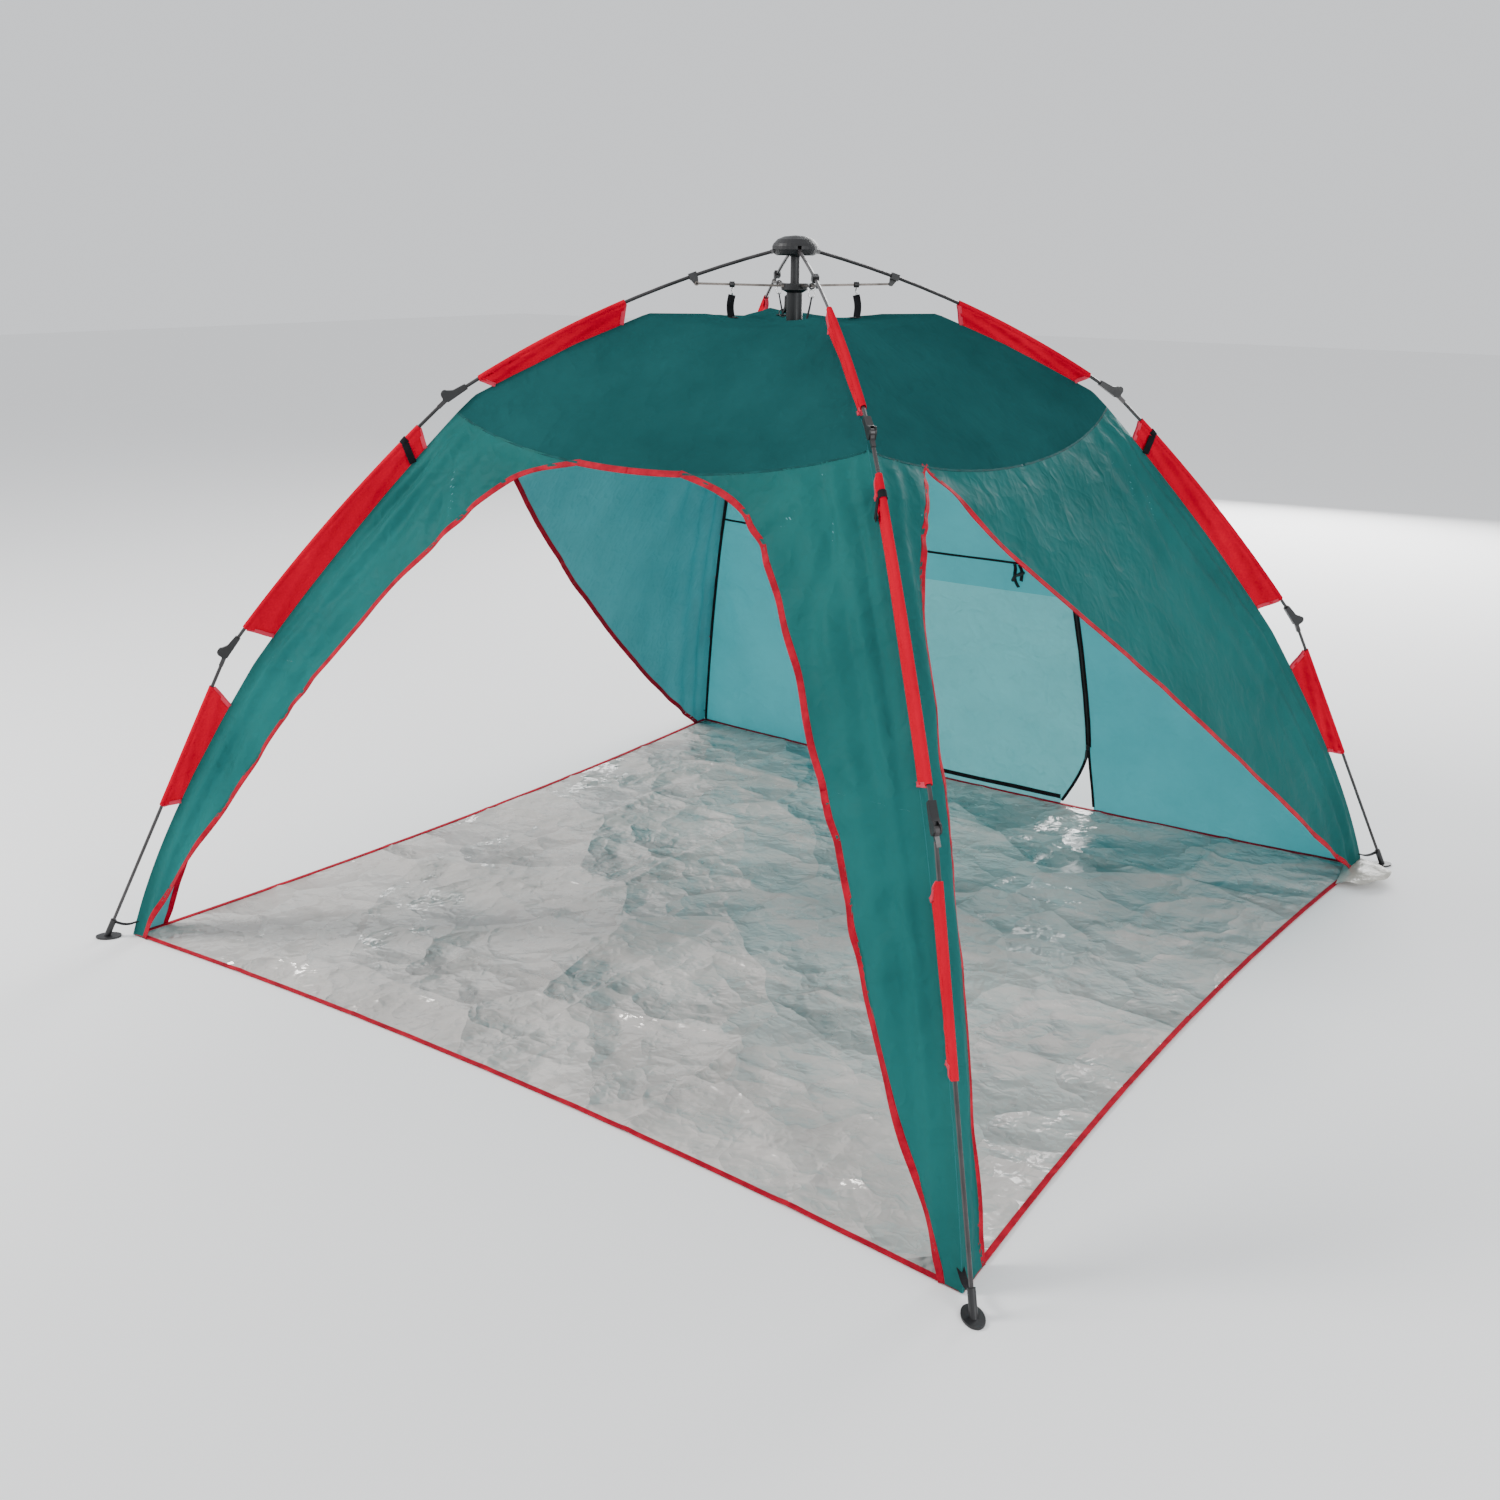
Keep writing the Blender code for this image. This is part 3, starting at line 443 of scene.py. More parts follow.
def panel(name, side, sign, zone, surface, edges, span, materials, spacing=0.014):
    """A piece of cloth between two edges, given as functions of the height, over a span of heights."""
    low, high = span
    rows = max(6, int(abs(high - low) * (1.0 if surface is wall else 0.75) / spacing))
    vs = np.linspace(low, high, rows + 1)
    first, last = edges[0](vs), edges[1](vs)
    reach = np.abs(last - first).max() * (1.0 if surface is wall else 0.66)
    columns = max(5, int(reach / spacing))
    share = np.linspace(0, 1, columns + 1)[None, :]
    xs = first[:, None] + (last - first)[:, None] * share
    grid = np.broadcast_to(vs[:, None], xs.shape)
    points = surface(side, xs, grid)
    normal = surface_normals(surface, side, xs, grid)
    outward = spin(side) @ np.array((1.0, 0, 0.4))
    if float((normal * outward).sum()) < 0:
        normal = -normal
    obj = two_layers(name, points, normal, materials)
    fasten(obj, side, sign, zone)
    return obj


def tape(name, side, sign, zone, xs, vs, width, mat, thick=0.0022, lift=0.0):
    """A flat band that follows a line on a wall; lift moves it outward."""
    xs, vs = np.asarray(xs, float), np.asarray(vs, float)
    line = wall(side, xs, vs)
    normal = surface_normals(wall, side, xs, vs, 0.010)
    outward = spin(side) @ np.array((1.0, 0, 0.4))
    normal *= np.sign((normal @ outward))[:, None]
    return fasten(band(name, line, normal, width, mat, thick, lift), side, sign, zone)


def band(name, line, normal, width, mat, thick, lift=0.0):
    """A closed flat strip with rounded edges along a line; the normal is its flat side's direction."""
    tangent = np.gradient(line, axis=0)
    tangent /= np.linalg.norm(tangent, axis=-1, keepdims=True)
    across = np.cross(normal, tangent)
    across /= np.maximum(np.linalg.norm(across, axis=-1, keepdims=True), 1e-9)
    centre = line + normal * lift
    w, t = width / 2, thick / 2
    section = [(-w, 0), (-0.85 * w, t), (-0.6 * w, t * 0.8), (0.6 * w, t * 0.8), (0.85 * w, t), (w, 0),
               (0.85 * w, -t), (0.6 * w, -t * 0.8), (-0.6 * w, -t * 0.8), (-0.85 * w, -t)]
    rings = np.stack([centre + across * a + normal * b for a, b in section], 1)
    count = len(section)
    faces = []
    for i in range(len(line) - 1):
        for j in range(count):
            a, b = i * count + j, i * count + (j + 1) % count
            faces.append((a, b, b + count, a + count))
    faces += [tuple(range(count))[::-1], tuple(range((len(line) - 1) * count, len(line) * count))]
    return new_object(name, rings.reshape(-1, 3).tolist(), faces, [mat])


# ---- canopy ------------------------------------------------------------------------------------
SPANS = {"middle": (LEVEL2, SEAM_MID), "lower": (HEM[1], LEVEL2)}
ROOF_SPAN = (0.02, 1.0)
# inner layers use the painted glow copy of the cloth; the roof uses a painted shade copy and the back wall a
# painted glow copy
SIDE_CLOTH, ROOF_CLOTH = [TEAL, CANOPY_INSIDE_PAINTED_GLOW], [ROOF_PAINTED_SHADE_TEAL, CANOPY_INSIDE_PAINTED_GLOW]
BACK_CLOTH, DOOR_SIDES = [BACK_PAINTED_GLOW_TEAL, CANOPY_INSIDE_PAINTED_GLOW], [BACK_PAINTED_GLOW_TEAL, DOOR_CLOTH]
HANDS = {"left": -1, "right": 1}
stands_for = {}


def scaled(sign, edge):
    """An edge, or its mirror image when sign is -1."""
    def line(z):
        return sign * edge(z)
    return line


def level_line(value):
    """An edge that stays at one distance from mid-side."""
    def line(z):
        return np.full_like(np.asarray(z, float), value)
    return line


def strip_line(z):
    """Rear edge of a front column's side strip."""
    return half_width(z) - strip_edge(z)


def zip_edge_wall(z):
    """The back wall's edge along the door's zip, drawn back a little where the zip is open."""
    return -(DOOR_X + 0.15 * door_gap(z))


def zip_edge_door(z):
    """The door's edge along its zip, hanging open below the slider."""
    return -(DOOR_X - door_gap(z))


def roof_panels():
    for side in SIDES:
        for sign in (-1, 1):
            edges = (level_line(0.0), level_line(float(sign)))
            piece = panel(f"roof_{side}_{sign}", side, sign, "roof", roof, edges, ROOF_SPAN, ROOF_CLOTH)
            stands_for.setdefault("canopy_roof", piece)


def front_column(hand, zone):
    """A column's front panel, with its half of the arch, and the strip beside it round the corner."""
    sign = HANDS[hand]
    edges = (scaled(sign, arch_x), scaled(sign, half_width))
    piece = panel(f"column_{hand}_{zone}", "front", sign, zone, wall, edges, SPANS[zone], SIDE_CLOTH)
    edges = (scaled(-sign, strip_line), scaled(-sign, half_width))
    panel(f"column_{hand}_strip_{zone}", hand, -sign, zone, wall, edges, SPANS[zone], SIDE_CLOTH)
    stands_for.setdefault(f"front_column_{hand}", piece)


def side_wing(hand, zone):
    sign = HANDS[hand]
    edges = (scaled(sign, wing_front), scaled(sign, half_width))
    piece = panel(f"wing_{hand}_{zone}", hand, sign, zone, wall, edges, SPANS[zone], SIDE_CLOTH)
    stands_for.setdefault(f"wing_{hand}", piece)


def back_wall():
    for sign in (-1, 1):
        edges = (level_line(0.0), scaled(sign, half_width))
        piece = panel(f"back_upper_{sign}", "back", sign, "middle", wall, edges, SPANS["middle"], BACK_CLOTH)
        stands_for.setdefault("back_wall", piece)
    middle, far_edge = level_line(0.0), level_line(DOOR_FAR_X)
    parts = {"back_lower_far": (1, (far_edge, half_width), BACK_CLOTH),
             "back_lower_zip": (-1, (zip_edge_wall, scaled(-1, half_width)), BACK_CLOTH),
             "door_far": (1, (middle, far_edge), DOOR_SIDES),
             "door_zip_side": (-1, (middle, zip_edge_door), DOOR_SIDES)}
    for name, (sign, edges, cloth) in parts.items():
        piece = panel(name, "back", sign, "lower", wall, edges, SPANS["lower"], cloth)
        if name == "door_far":
            stands_for["door_panel"] = piece


roof_panels()
for hand in HANDS:
    for zone in SPANS:
        front_column(hand, zone)
        side_wing(hand, zone)
back_wall()
for node, piece in stands_for.items():
    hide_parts(node)

# ---- binding, seams and zips -------------------------------------------------------------------
BIND_W, SEAM_W, CORNER_W, BACK_SEAM_W = 0.017, 0.007, 0.013, 0.010
ZIP_W, ZIP_HALF_W, COIL_W, FOOT_ZIP_W = 0.022, 0.011, 0.0055, 0.018
ZIP_TOP = 0.79                         # upper end of the door's zip and of its far seam
EAVE_Z = SEAM_MID - 0.002
ARCH_TOP = ARCH[-1][1]                 # half the width of the arch's flat top


def run(zone, steps=120):
    """Heights along an edge in a zone, closer together toward the seam."""
    low, high = SPANS[zone]
    return low + (high - low) * (1 - (1 - np.linspace(0, 1, steps)) ** 1.6)


def edge_bindings(zone):
    z = run(zone)
    for hand, sign in HANDS.items():
        tape(f"arch_binding_{hand}_{zone}", "front", sign, zone, sign * arch_x(z), z, BIND_W, BINDING)
        tape(f"strip_binding_{hand}_{zone}", hand, -sign, zone, -sign * strip_line(z), z, BIND_W, BINDING)
        tape(f"wing_binding_{hand}_{zone}", hand, sign, zone, sign * wing_front(z), z, BIND_W, BINDING)
    inset = half_width(z) - 0.010
    tape(f"rear_corner_seam_{zone}", "back", 1, zone, inset, z, CORNER_W, BLACK_WEB, lift=-0.002)
    tape(f"rear_corner_seam_right_{zone}", "back", -1, zone, -inset, z, CORNER_W, BLACK_WEB, lift=-0.002)


def eave_seams():
    for side in SIDES:
        start = ARCH_TOP if side == "front" else 0.0
        across = np.linspace(start, half_width(SEAM_MID) - 0.004, 60)
        for sign in (-1, 1):
            tape(f"eave_seam_{side}_{sign}", side, sign, "middle", sign * across, np.full(60, EAVE_Z),
                 SEAM_W, DARK_SEAM)
    across = np.linspace(0.0, ARCH_TOP + 0.004, 20)
    for sign in (-1, 1):
        tape(f"arch_top_binding_{sign}", "front", sign, "middle", sign * across, np.full(20, EAVE_Z),
             BIND_W, BINDING)


def back_seams():
    for sign in (-1, 1):
        across = sign * np.linspace(0.0, 1.0, 70) * (half_width(BACK_SEAM) - 0.004)
        tape(f"back_seam_{sign}", "back", sign, "middle", across, np.full(70, BACK_SEAM), BACK_SEAM_W,
             BLACK_WEB, 0.0030)


def door_trim():
    """The door's zip with its open lower part, its far seam and the zips along its foot."""
    z = np.linspace(ZIP_LOW, ZIP_TOP, 80)
    x = np.full(80, -DOOR_X)
    tape("door_zip_tape", "back", -1, "lower", x, z, ZIP_W, BLACK_WEB, 0.0024)
    tape("door_zip_coil", "back", -1, "lower", x, z, COIL_W, PLASTIC, 0.0058)
    z = np.linspace(0.015, ZIP_LOW, 40)
    tape("door_zip_open_door", "back", -1, "lower", zip_edge_door(z), z, ZIP_HALF_W, BLACK_WEB, 0.0026)
    tape("door_zip_open_wall", "back", -1, "lower", zip_edge_wall(z), z, ZIP_HALF_W, BLACK_WEB, 0.0026)
    z = np.linspace(0.02, ZIP_TOP, 80)
    tape("door_far_seam", "back", 1, "lower", np.full(80, DOOR_FAR_X), z, 0.008, DARK_SEAM, 0.0026)
    for name, sign, length in (("far", 1, 0.20), ("near", -1, 0.31)):
        tape(f"door_foot_zip_{name}", "back", sign, "lower", sign * np.linspace(0.0, length, 20),
             np.full(20, 0.030), FOOT_ZIP_W, BLACK_WEB, 0.003)


def door_ties():
    """Two webbing tails that hang from the back seam."""
    for k, (x, drop) in enumerate(((-0.225, 0.085), (-0.245, 0.060))):
        z = np.linspace(BACK_SEAM, BACK_SEAM - drop, 14)
        tape(f"door_tie_{k}", "back", -1, "middle", x + 0.006 * np.sin(z * 60 + k), z, 0.012, BLACK_WEB,
             0.003, lift=-0.008)


for zone in SPANS:
    edge_bindings(zone)
eave_seams()
back_seams()
door_trim()
door_ties()

# ---- zip slider and toggles --------------------------------------------------------------------
SLIDER_PROFILE = ((0.0035, -0.010), (0.0065, -0.006), (0.0060, 0.006), (0.0035, 0.010))
SLIDER_LEAN, SLIDER_FLATNESS = 0.27, 0.4
TOGGLE_PROFILE = ((0.002, -0.016), (0.0055, -0.013), (0.0065, 0.0), (0.0055, 0.013), (0.002, 0.016))


def turned_solid(name, profile, mat, place, steps=20):
    """A solid of revolution about the place's Z axis; the profile is (radius, height) from end to end."""
    points, faces = [], []
    for r, h in profile:
        for i in range(steps):
            angle = 2 * pi * i / steps
            points.append(tuple(place @ Vector((r * cos(angle), r * sin(angle), h))))
    for k in range(len(profile) - 1):
        for i in range(steps):
            a, b = k * steps + i, k * steps + (i + 1) % steps
            faces.append((a, b, b + steps, a + steps))
    faces += [tuple(range(steps))[::-1], tuple(range((len(profile) - 1) * steps, len(profile) * steps))]
    return new_object(name, points, faces, [mat])


def zip_slider():
    """The door zip's slider and pull."""
    low, high = (Vector(corner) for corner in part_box("zip_slider"))
    spot = (low + high) / 2
    lean = Matrix.Rotation(SLIDER_LEAN, 4, "X") @ Matrix.Diagonal((1, SLIDER_FLATNESS, 1, 1))
    body = turned_solid("zip_slider_body", SLIDER_PROFILE, PLASTIC, Matrix.Translation(spot) @ lean)
    z = np.linspace(-0.006, -0.045, 8)
    line = np.array(spot) + np.stack([0 * z, -0.006 + 0.1 * z, z], -1)
    pull = band("zip_pull", line, np.tile((0.0, 1.0, 0.0), (8, 1)), 0.007, PLASTIC, 0.0018)
    for piece in (body, pull):
        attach(piece, "zip_slider")
        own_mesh(piece)
    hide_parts("zip_slider")


def door_toggles():
    for k, (x, z) in enumerate(((-0.222, 0.868), (-0.248, 0.884))):
        spot = Vector(wall("back", np.array(x), np.array(z))) - Vector((0, 0.016, 0))
        place = Matrix.Translation(spot) @ Matrix.Rotation(0.5 + 0.6 * k, 4, "Y")
        fasten(turned_solid(f"door_toggle_{k}", TOGGLE_PROFILE, PLASTIC, place), "back", -1, "middle")


zip_slider()
door_toggles()

# ---- sleeves -----------------------------------------------------------------------------------
# each sleeve's two ends, as shares of the pole's length
SLEEVES = {"upper": (0.45, 0.90), "middle": (0.115, 0.90), "lower": (0.11, 0.53)}
SLEEVE_R, SLANT = 0.0078, 0.034
WEB_TOP = 0.86                         # share of the sleeve's depth where its web meets the tunnel
BAND_R, BAND_AT, BAND_W = 0.0095, 0.075, 0.020


def turn_of(leg):
    angle = radians(LEGS[leg])
    return np.array(((cos(angle), -sin(angle), 0), (sin(angle), cos(angle), 0), (0, 0, 1)))


def pole_frame(section):
    """A pole's start, direction, outward direction, length and bow, in the leg's plane."""
    start, end, bow = POLES[section]
    along = np.array((end[0] - start[0], end[1] - start[1]))
    length = float(np.hypot(*along))
    along /= length
    return np.array(start), along, np.array((-along[1], along[0])), length, bow


def corner_line(section):
    """Points of the canopy's corner line below a pole section: distance from the middle and height."""
    if section == "upper":
        q = np.linspace(0.2, 1, 60)
        return np.stack([np.interp(q, ROOF_Q, ROOF_R), np.interp(q, ROOF_Q, ROOF_Z)], -1)
    if section == "middle":
        z = np.linspace(SEAM_MID + SEAM_SAG, 0.6, 80)
    else:
        z = np.linspace(0.9, 0.02, 80)
    return np.stack([ridge_r(z), z], -1)


def sleeve_points(section, u, depth):
    """Points in the leg's plane: u runs along the sleeve, depth from 0 at the canopy to 1 at the pole."""
    start, along, out, length, bow = pole_frame(section)
    low, high = (s * length for s in SLEEVES[section])
    x = low + SLANT * (1 - depth) + u * (high - low - 2 * SLANT * (1 - depth))
    line = corner_line(section) - start
    place, off = line @ along, line @ out
    order = np.argsort(place)
    canopy = np.interp(x, place[order], off[order]) - 0.002
    pole = 4 * bow * (x / length) * (1 - x / length)
    y = canopy + (pole - canopy) * depth
    return start + x[..., None] * along + y[..., None] * out, out


def tunnel_rows(section, u):
    """Rows of points that go round the pole from one layer of the web to the other."""
    flat, out = sleeve_points(section, u, np.full_like(u, 1.0))
    rows = []
    for angle in np.radians(np.linspace(-50, 230, 13)):
        aside = np.full((*flat.shape[:2], 1), SLEEVE_R * cos(angle))
        rows.append(np.concatenate([flat + SLEEVE_R * sin(angle) * out, aside], -1)[0])
    return rows


def web_row(section, u, depth, side_sign, seed):
    """One row of points of a web layer, with its creases."""
    flat, _ = sleeve_points(section, u, np.full_like(u, depth))
    crease = 0.0035 * sin(pi * min(1, depth * 1.1)) * np.sin(11 * u + 9 * depth + seed) \
        + 0.0018 * np.sin(37 * u - 6 * depth + 2 * seed) * depth
    wide = side_sign * (0.0012 + 0.0055 * (depth / WEB_TOP) ** 2)
    return np.concatenate([flat, (crease + wide)[..., None]], -1)[0]


def sleeve(section, leg):
    """Cloth tunnel round the pole with a two-layer web down to the canopy."""
    columns = 70
    u = np.linspace(0, 1, columns)[None, :]
    seed = list(LEGS).index(leg) * 3 + list(SLEEVES).index(section)
    web = np.linspace(0, WEB_TOP, 9)
    rows = [web_row(section, u, depth, 1, seed) for depth in web]
    rows += tunnel_rows(section, u)
    rows += [web_row(section, u, depth, -1, seed) for depth in web[::-1]]
    grid = np.stack(rows)
    points = np.stack([grid[..., 0], grid[..., 2], grid[..., 1]], -1) @ turn_of(leg).T
    faces = grid_faces(points.shape[0], columns)
    obj = new_object(f"sleeve_{section}_{leg}", points.reshape(-1, 3).tolist(), faces, [RED])
    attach(obj, f"{section}_{leg}")
    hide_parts(f"{section}_sleeve_{leg}")
    length = (SLEEVES[section][1] - SLEEVES[section][0]) * pole_frame(section)[3]


def sleeve_ends(section, leg):
    """Folded edges at a sleeve's two ends; their lighter pink red is a painted highlight on the folds."""
    depth = np.linspace(0.02, 0.93, 16)
    for end, at in (("high", 0.0), ("low", 1.0)):
        flat, _ = sleeve_points(section, np.full_like(depth, at), depth)
        line = np.stack([flat[:, 0], 0.002 * np.sin(depth * 7), flat[:, 1]], -1) @ turn_of(leg).T
        normal = np.repeat([[0.0, 1.0, 0.0]], 16, 0) @ turn_of(leg).T
        fold_highlight = band(f"sleeve_end_{section}_{end}_{leg}", line, normal, 0.012, SLEEVE_FOLD_HIGHLIGHT, 0.012)
        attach(fold_highlight, f"{section}_{leg}")


def sleeve_band(leg):
    """Hook-and-loop strap round the middle sleeve and its pole."""
    depth = np.concatenate([np.linspace(0.0, WEB_TOP, 8), [1.0] * 9, np.linspace(WEB_TOP, 0.0, 8)])
    angle = np.radians(np.linspace(-40, 220, 9))
    flat, out = sleeve_points("middle", np.full_like(depth, BAND_AT), depth)
    across = np.concatenate([np.full(8, BAND_R), BAND_R * np.cos(angle), np.full(8, -BAND_R)])
    lift = np.concatenate([np.zeros(8), BAND_R * np.sin(angle), np.zeros(8)])
    line = np.stack([flat[:, 0] + lift * out[0], across, flat[:, 1] + lift * out[1]], -1)
    facing = np.concatenate([np.tile((0.0, 1.0), (8, 1)), np.stack([np.sin(angle), np.cos(angle)], -1),
                             np.tile((0.0, -1.0), (8, 1))])
    normal = np.stack([facing[:, 0] * out[0], facing[:, 1], facing[:, 0] * out[1]], -1)
    turn = turn_of(leg).T
    obj = band(f"sleeve_band_{leg}", line @ turn, normal @ turn, BAND_W, HOOK_BAND, 0.002)
    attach(obj, f"middle_{leg}")


for leg in LEGS:
    for section in SLEEVES:
        sleeve(section, leg)
        sleeve_ends(section, leg)
    sleeve_band(leg)

# ---- roof straps, rings and foot webbing -------------------------------------------------------
STRUT = ((0.030, 1.806), (0.270, 1.811))   # a strut's ends: distance from the middle, height
STRAP_AT, STRUT_SIDE = 0.60, 0.0125        # share of the strut's length; distance from the leg's plane
HOOK_R, STRAP_W = 0.0065, 0.020
FOOT_WEB_R, FOOT_WEB_Z = 1.890, 0.046


def torus(name, centre, major, minor, place, mat, squash_x=1.0):
    points, faces, n, m = [], [], 28, 10
    for i in range(n):
        for j in range(m):
            a, b = 2 * pi * i / n, 2 * pi * j / m
            r = major + minor * cos(b)
            points.append(tuple(centre + place @ Vector((r * cos(a) * squash_x, minor * sin(b), r * sin(a)))))
            across, along = (j + 1) % m, (i + 1) % n
            faces.append((i * m + j, i * m + across, along * m + across, along * m + j))
    return new_object(name, points, faces, [mat])


def roof_strap(leg):
    """Plastic hook on the strut, steel ring below it, and the webbing down to a patch on the roof."""
    turn = turn_of(leg)
    r, top = (a + (b - a) * STRAP_AT for a, b in zip(*STRUT))
    angles = np.linspace(0, 2 * pi, 21)
    hook = np.array([(r, STRUT_SIDE + HOOK_R * sin(a), top + HOOK_R * cos(a)) for a in angles[:-1]])
    hook_line = np.concatenate([hook, hook[:1]]) @ turn.T
    outward = np.array([(0, sin(a), cos(a)) for a in angles]) @ turn.T
    clip = band(f"strut_hook_{leg}", hook_line, outward, 0.014, PLASTIC, 0.003)
    centre = Vector((turn @ np.array((r, STRUT_SIDE, top - 0.019))).tolist())
    ring_turn = Matrix([list(row) for row in turn]) @ Matrix.Rotation(pi / 2, 3, "Z")
    ring = torus(f"strap_ring_{leg}", centre, 0.0105, 0.0014, ring_turn, BRIGHT, 0.8)
    drop = np.linspace(0, 1, 16)
    roof_z = float(np.interp(r, ROOF_R, ROOF_Z)) + 0.001
    z = top - 0.027 + (roof_z - top + 0.027) * drop
    line = np.stack([r + 0.004 * np.sin(pi * drop), STRUT_SIDE * (1 - drop), z], -1)
    flat_side = np.stack([np.zeros(16), np.ones(16), np.zeros(16)], -1)
    strap = band(f"roof_strap_{leg}_web", line @ turn.T, flat_side @ turn.T, STRAP_W, BLACK_WEB, 0.0018)
    patch = turned_solid(f"strap_patch_{leg}", ((0.018, -0.0012), (0.020, 0), (0.018, 0.0012)), BLACK_WEB,
                         Matrix.Translation(turn @ np.array((r, 0, roof_z - 0.001))))
    for piece in (clip, ring, strap):
        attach(piece, f"strut_{leg}")
    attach(patch, f"upper_{leg}")
    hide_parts(f"roof_strap_{leg}")


def foot_webbing(leg):
    """Short webbing from the canopy's lower corner to the foot."""
    turn = turn_of(leg)
    t = np.linspace(0, 1, 16)
    z = FOOT_WEB_Z - 0.012 * np.sin(pi * t) + 0.004 * t
    line = np.stack([FOOT_WEB_R + 0.075 * t, np.zeros(16), z], -1)
    up = np.stack([np.zeros(16), np.zeros(16), np.ones(16)], -1)
    web = band(f"foot_webbing_{leg}", line @ turn.T, up @ turn.T, 0.016, BLACK_WEB, 0.002)
    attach(web, f"lower_{leg}")


for leg in LEGS:
    roof_strap(leg)
    foot_webbing(leg)

lever_ring = torus("release_ring", Vector((-0.039, 0, 1.733)), 0.010, 0.0013, Matrix.Rotation(0.5, 3, "Z"),
                   PLASTIC)
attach(lever_ring, "release_lever")

# ---- groundsheet -------------------------------------------------------------------------------
SHEET_STEPS, SHEET_FLAT, SHEET_AREA = 190, 2.69, 7.0
FOLD_LINES = (-0.92, -0.46, 0.0, 0.46, 0.92)


def floor_point(u, v):
    """The groundsheet's surface: crumpled film with the creases of its folded state."""
    x = u * (FLOOR_HALF - FLOOR_CURVE * (1 - v ** 2) * u ** 2)
    y = v * (FLOOR_HALF - FLOOR_CURVE * (1 - u ** 2) * v ** 2)
    rise = 0.0058 * np.clip(crumple(0.75 * x, 0.75 * y, 3) + 0.7, 0, None)
    rise += 0.0016 * np.clip(crumple(2.1 * x, 2.1 * y, 5) + 0.6, 0, None)
    ring = np.exp(-((np.hypot(x - 0.35, (y + 0.2) * 0.7) - 0.6) / 0.22) ** 2)
    rise += 0.010 * ring * (0.5 + 0.5 * np.sin(5 * x - 3 * y))
    for crease in FOLD_LINES:
        rise += 0.0095 * np.exp(-np.abs(x - crease - 0.02 * np.sin(2.5 * y)) / 0.014)
        rise += 0.0085 * np.exp(-np.abs(y - crease * 0.96 + 0.02 * np.sin(2.2 * x)) / 0.014)
    edge = np.clip((1 - np.maximum(np.abs(u), np.abs(v))) / 0.02, 0, 1)
    return np.stack([x, y, 0.003 + rise * (0.25 + 0.75 * edge)], -1)


def lay_on_floor(obj):
    """The piece rides on the floor body."""
    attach(obj, "floor")
    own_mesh(obj)


def groundsheet():
    u, v = np.meshgrid(np.linspace(-1, 1, SHEET_STEPS), np.linspace(-1, 1, SHEET_STEPS))
    points = floor_point(u, v).reshape(-1, 3).tolist()
    film_sheet = new_object("groundsheet_film", points, grid_faces(SHEET_STEPS, SHEET_STEPS), [FILM])
    lay_on_floor(film_sheet)
    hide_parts("groundsheet")
    t, ones = np.linspace(-1, 1, 120), np.ones(120)
    edges = {"front": (t, -ones), "right": (ones, t), "back": (t, ones), "left": (-ones, t)}
    for name, (a, b) in edges.items():
        line = floor_point(a, b)
        line[:, 2] += 0.001
        up = np.stack([0 * t, 0 * t, ones], -1)
        lay_on_floor(band(f"floor_binding_{name}", line, up, 0.015, BINDING, 0.0028))


def skirt_flap():
    """Loose film skirt that shows past the groundsheet's rear right corner."""
    a, b = np.meshgrid(np.linspace(0, 1, 26), np.linspace(0, 1, 16))
    reach = 0.075 + 0.075 * np.sin(pi * np.clip(a * 1.05, 0, 1)) ** 0.8
    x = 1.335 - 0.035 * a + reach * b
    y = 1.12 + 0.25 * a + 0.22 * reach * b - 0.05 * b * a
    hump = 0.034 * np.sin(pi * 0.72 * b) * (0.45 + 0.55 * np.sin(pi * a))
    z = 0.010 + hump + 0.004 * np.sin(17 * a + 6 * b) * b
    points = np.stack([x, y, np.maximum(z, 0.003)], -1).reshape(-1, 3).tolist()
    obj = new_object("skirt_flap", points, grid_faces(16, 26), [FLAP])
    lay_on_floor(obj)


groundsheet()
skirt_flap()

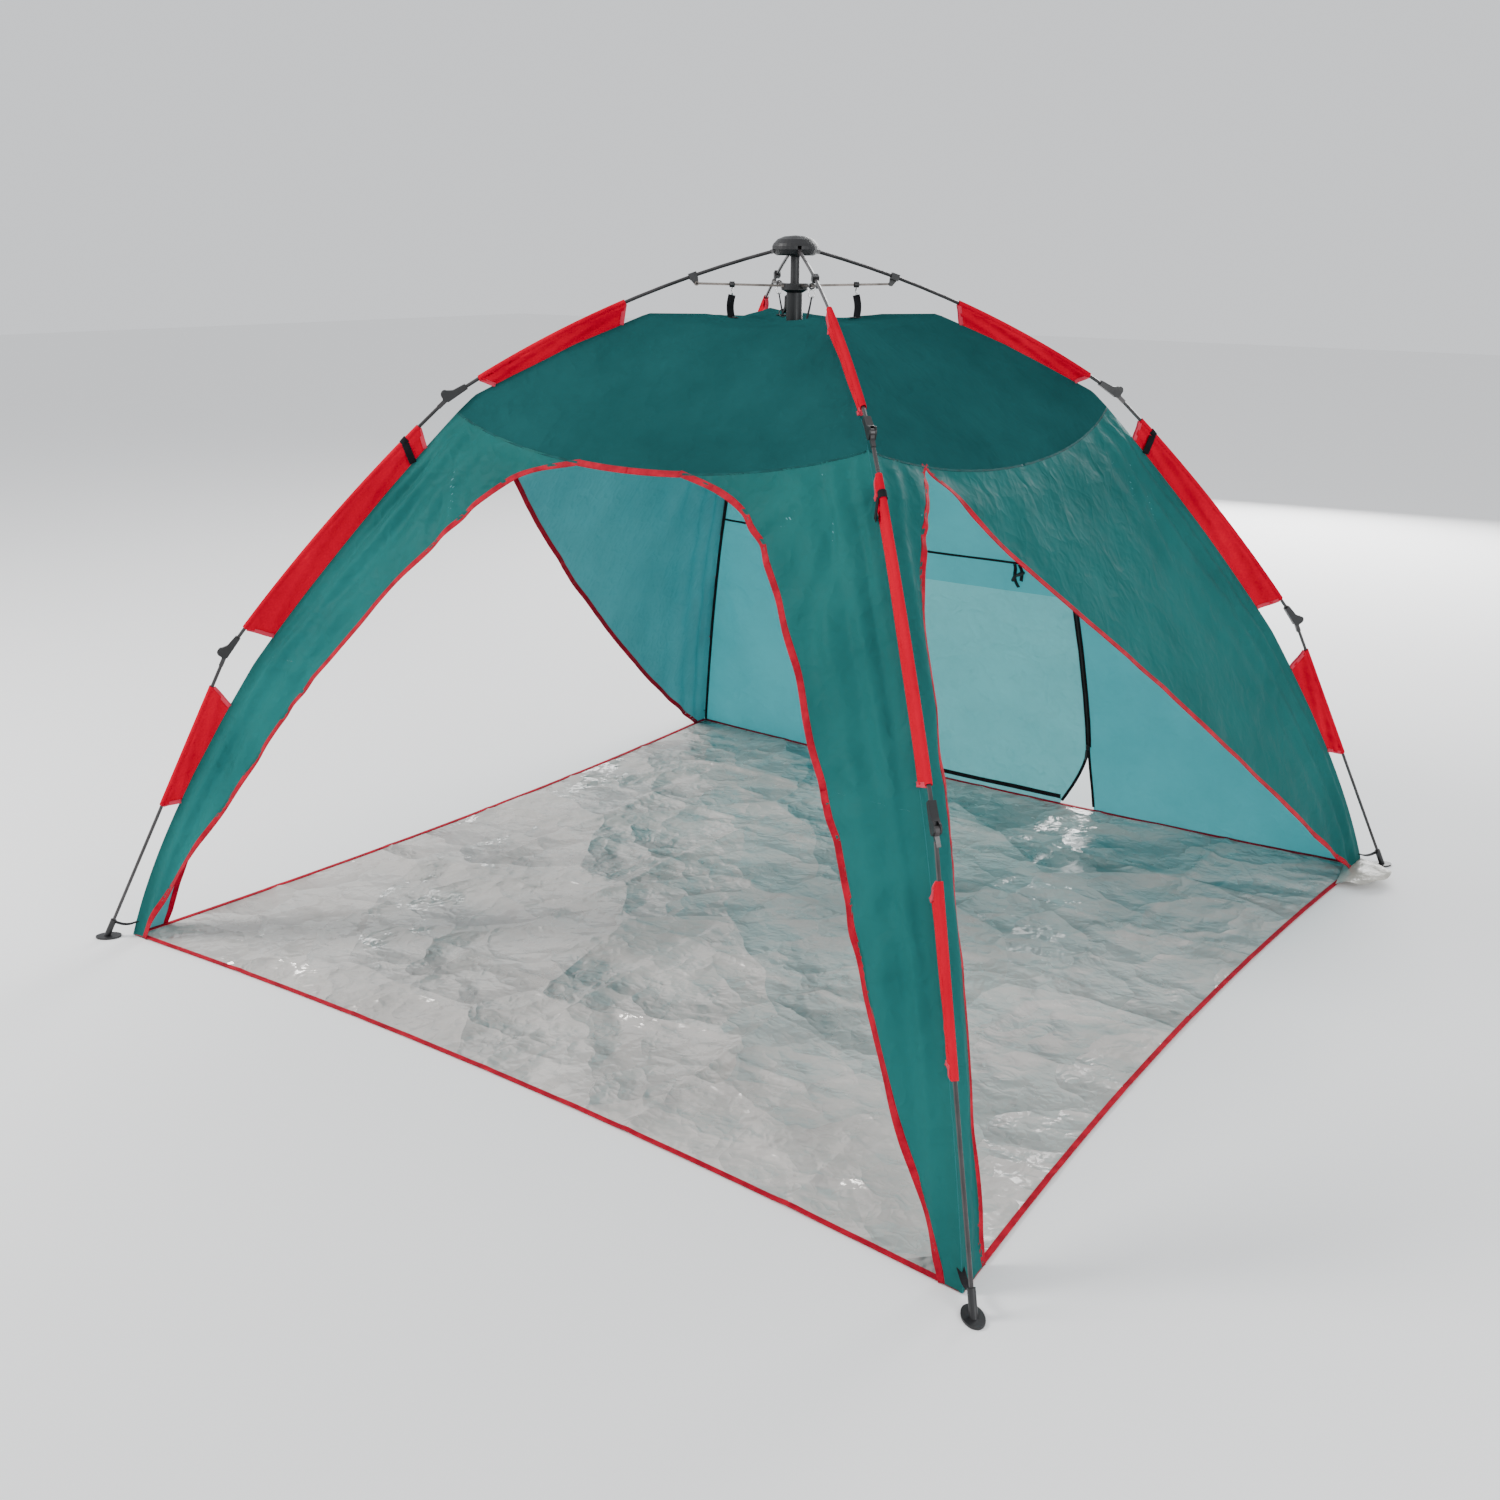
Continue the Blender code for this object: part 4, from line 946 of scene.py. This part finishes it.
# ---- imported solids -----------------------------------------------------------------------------
hidden = set(stands_for) | {"groundsheet", "zip_slider"}
for node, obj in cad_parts.items():
    if "sleeve" in node or "roof_strap" in node or node in hidden:
        continue
    if "_pole_" in node:
        mat = ROD
    elif node.startswith("strut"):
        mat = STEEL
    else:
        mat = PLASTIC
    obj.data.materials.clear()
    obj.data.materials.append(mat)
    bevel = obj.modifiers.new("edges", "BEVEL")
    bevel.width, bevel.segments = 0.0004, 2
    bevel.limit_method, bevel.angle_limit = "ANGLE", radians(40)

# ---- studio ------------------------------------------------------------------------------------
CAMERA_PLACE, CAMERA_TARGET, CAMERA_ROLL = (2.4757, -3.6198, 1.9082), (-0.137, 0.0, 0.453), -0.0084
CAMERA_LENS, CAMERA_SENSOR = 37.13, 36.0


def area_light(name, place, target, size, power, colour=(1, 1, 1)):
    light = bpy.data.lights.new(name, "AREA")
    light.shape, light.size, light.energy, light.color = "DISK", size, power, colour
    obj = bpy.data.objects.new(name, light)
    obj.location = place
    obj.rotation_euler = (Vector(target) - Vector(place)).to_track_quat("-Z", "Y").to_euler()
    bpy.context.scene.collection.objects.link(obj)
    return obj


bpy.ops.mesh.primitive_plane_add(size=60, location=(0, 0, -0.0008))
ground = bpy.context.active_object
ground.name = "studio_floor"
ground.data.materials.append(Shader("studio floor", (0.90, 0.90, 0.90), 0.9).mat)
lights = [area_light("key", (-5.0, -4.5, 5.0), (0, 0, 0.6), 2.5, 520, (1.0, 0.99, 0.97)),
          area_light("fill", (7.0, -3.0, 3.0), (0, 0, 0.7), 4.0, 240, (0.97, 0.99, 1.0)),
          area_light("back", (-1.0, 7.5, 3.2), (0, 1.0, 0.5), 6.0, 700)]
world = bpy.data.worlds.new("studio")
world.use_nodes = True
world.node_tree.nodes["Background"].inputs["Color"].default_value = (0.95, 0.97, 1.0, 1)
world.node_tree.nodes["Background"].inputs["Strength"].default_value = 1.0
bpy.context.scene.world = world

camera_data = bpy.data.cameras.new("camera")
camera_data.lens, camera_data.sensor_width = CAMERA_LENS, CAMERA_SENSOR
camera = bpy.data.objects.new("camera", camera_data)
bpy.context.scene.collection.objects.link(camera)
look = (Vector(CAMERA_TARGET) - Vector(CAMERA_PLACE)).to_track_quat("-Z", "Y").to_matrix().to_4x4()
camera.matrix_world = Matrix.Translation(CAMERA_PLACE) @ look @ Matrix.Rotation(-CAMERA_ROLL, 4, "Z")
bpy.context.scene.camera = camera
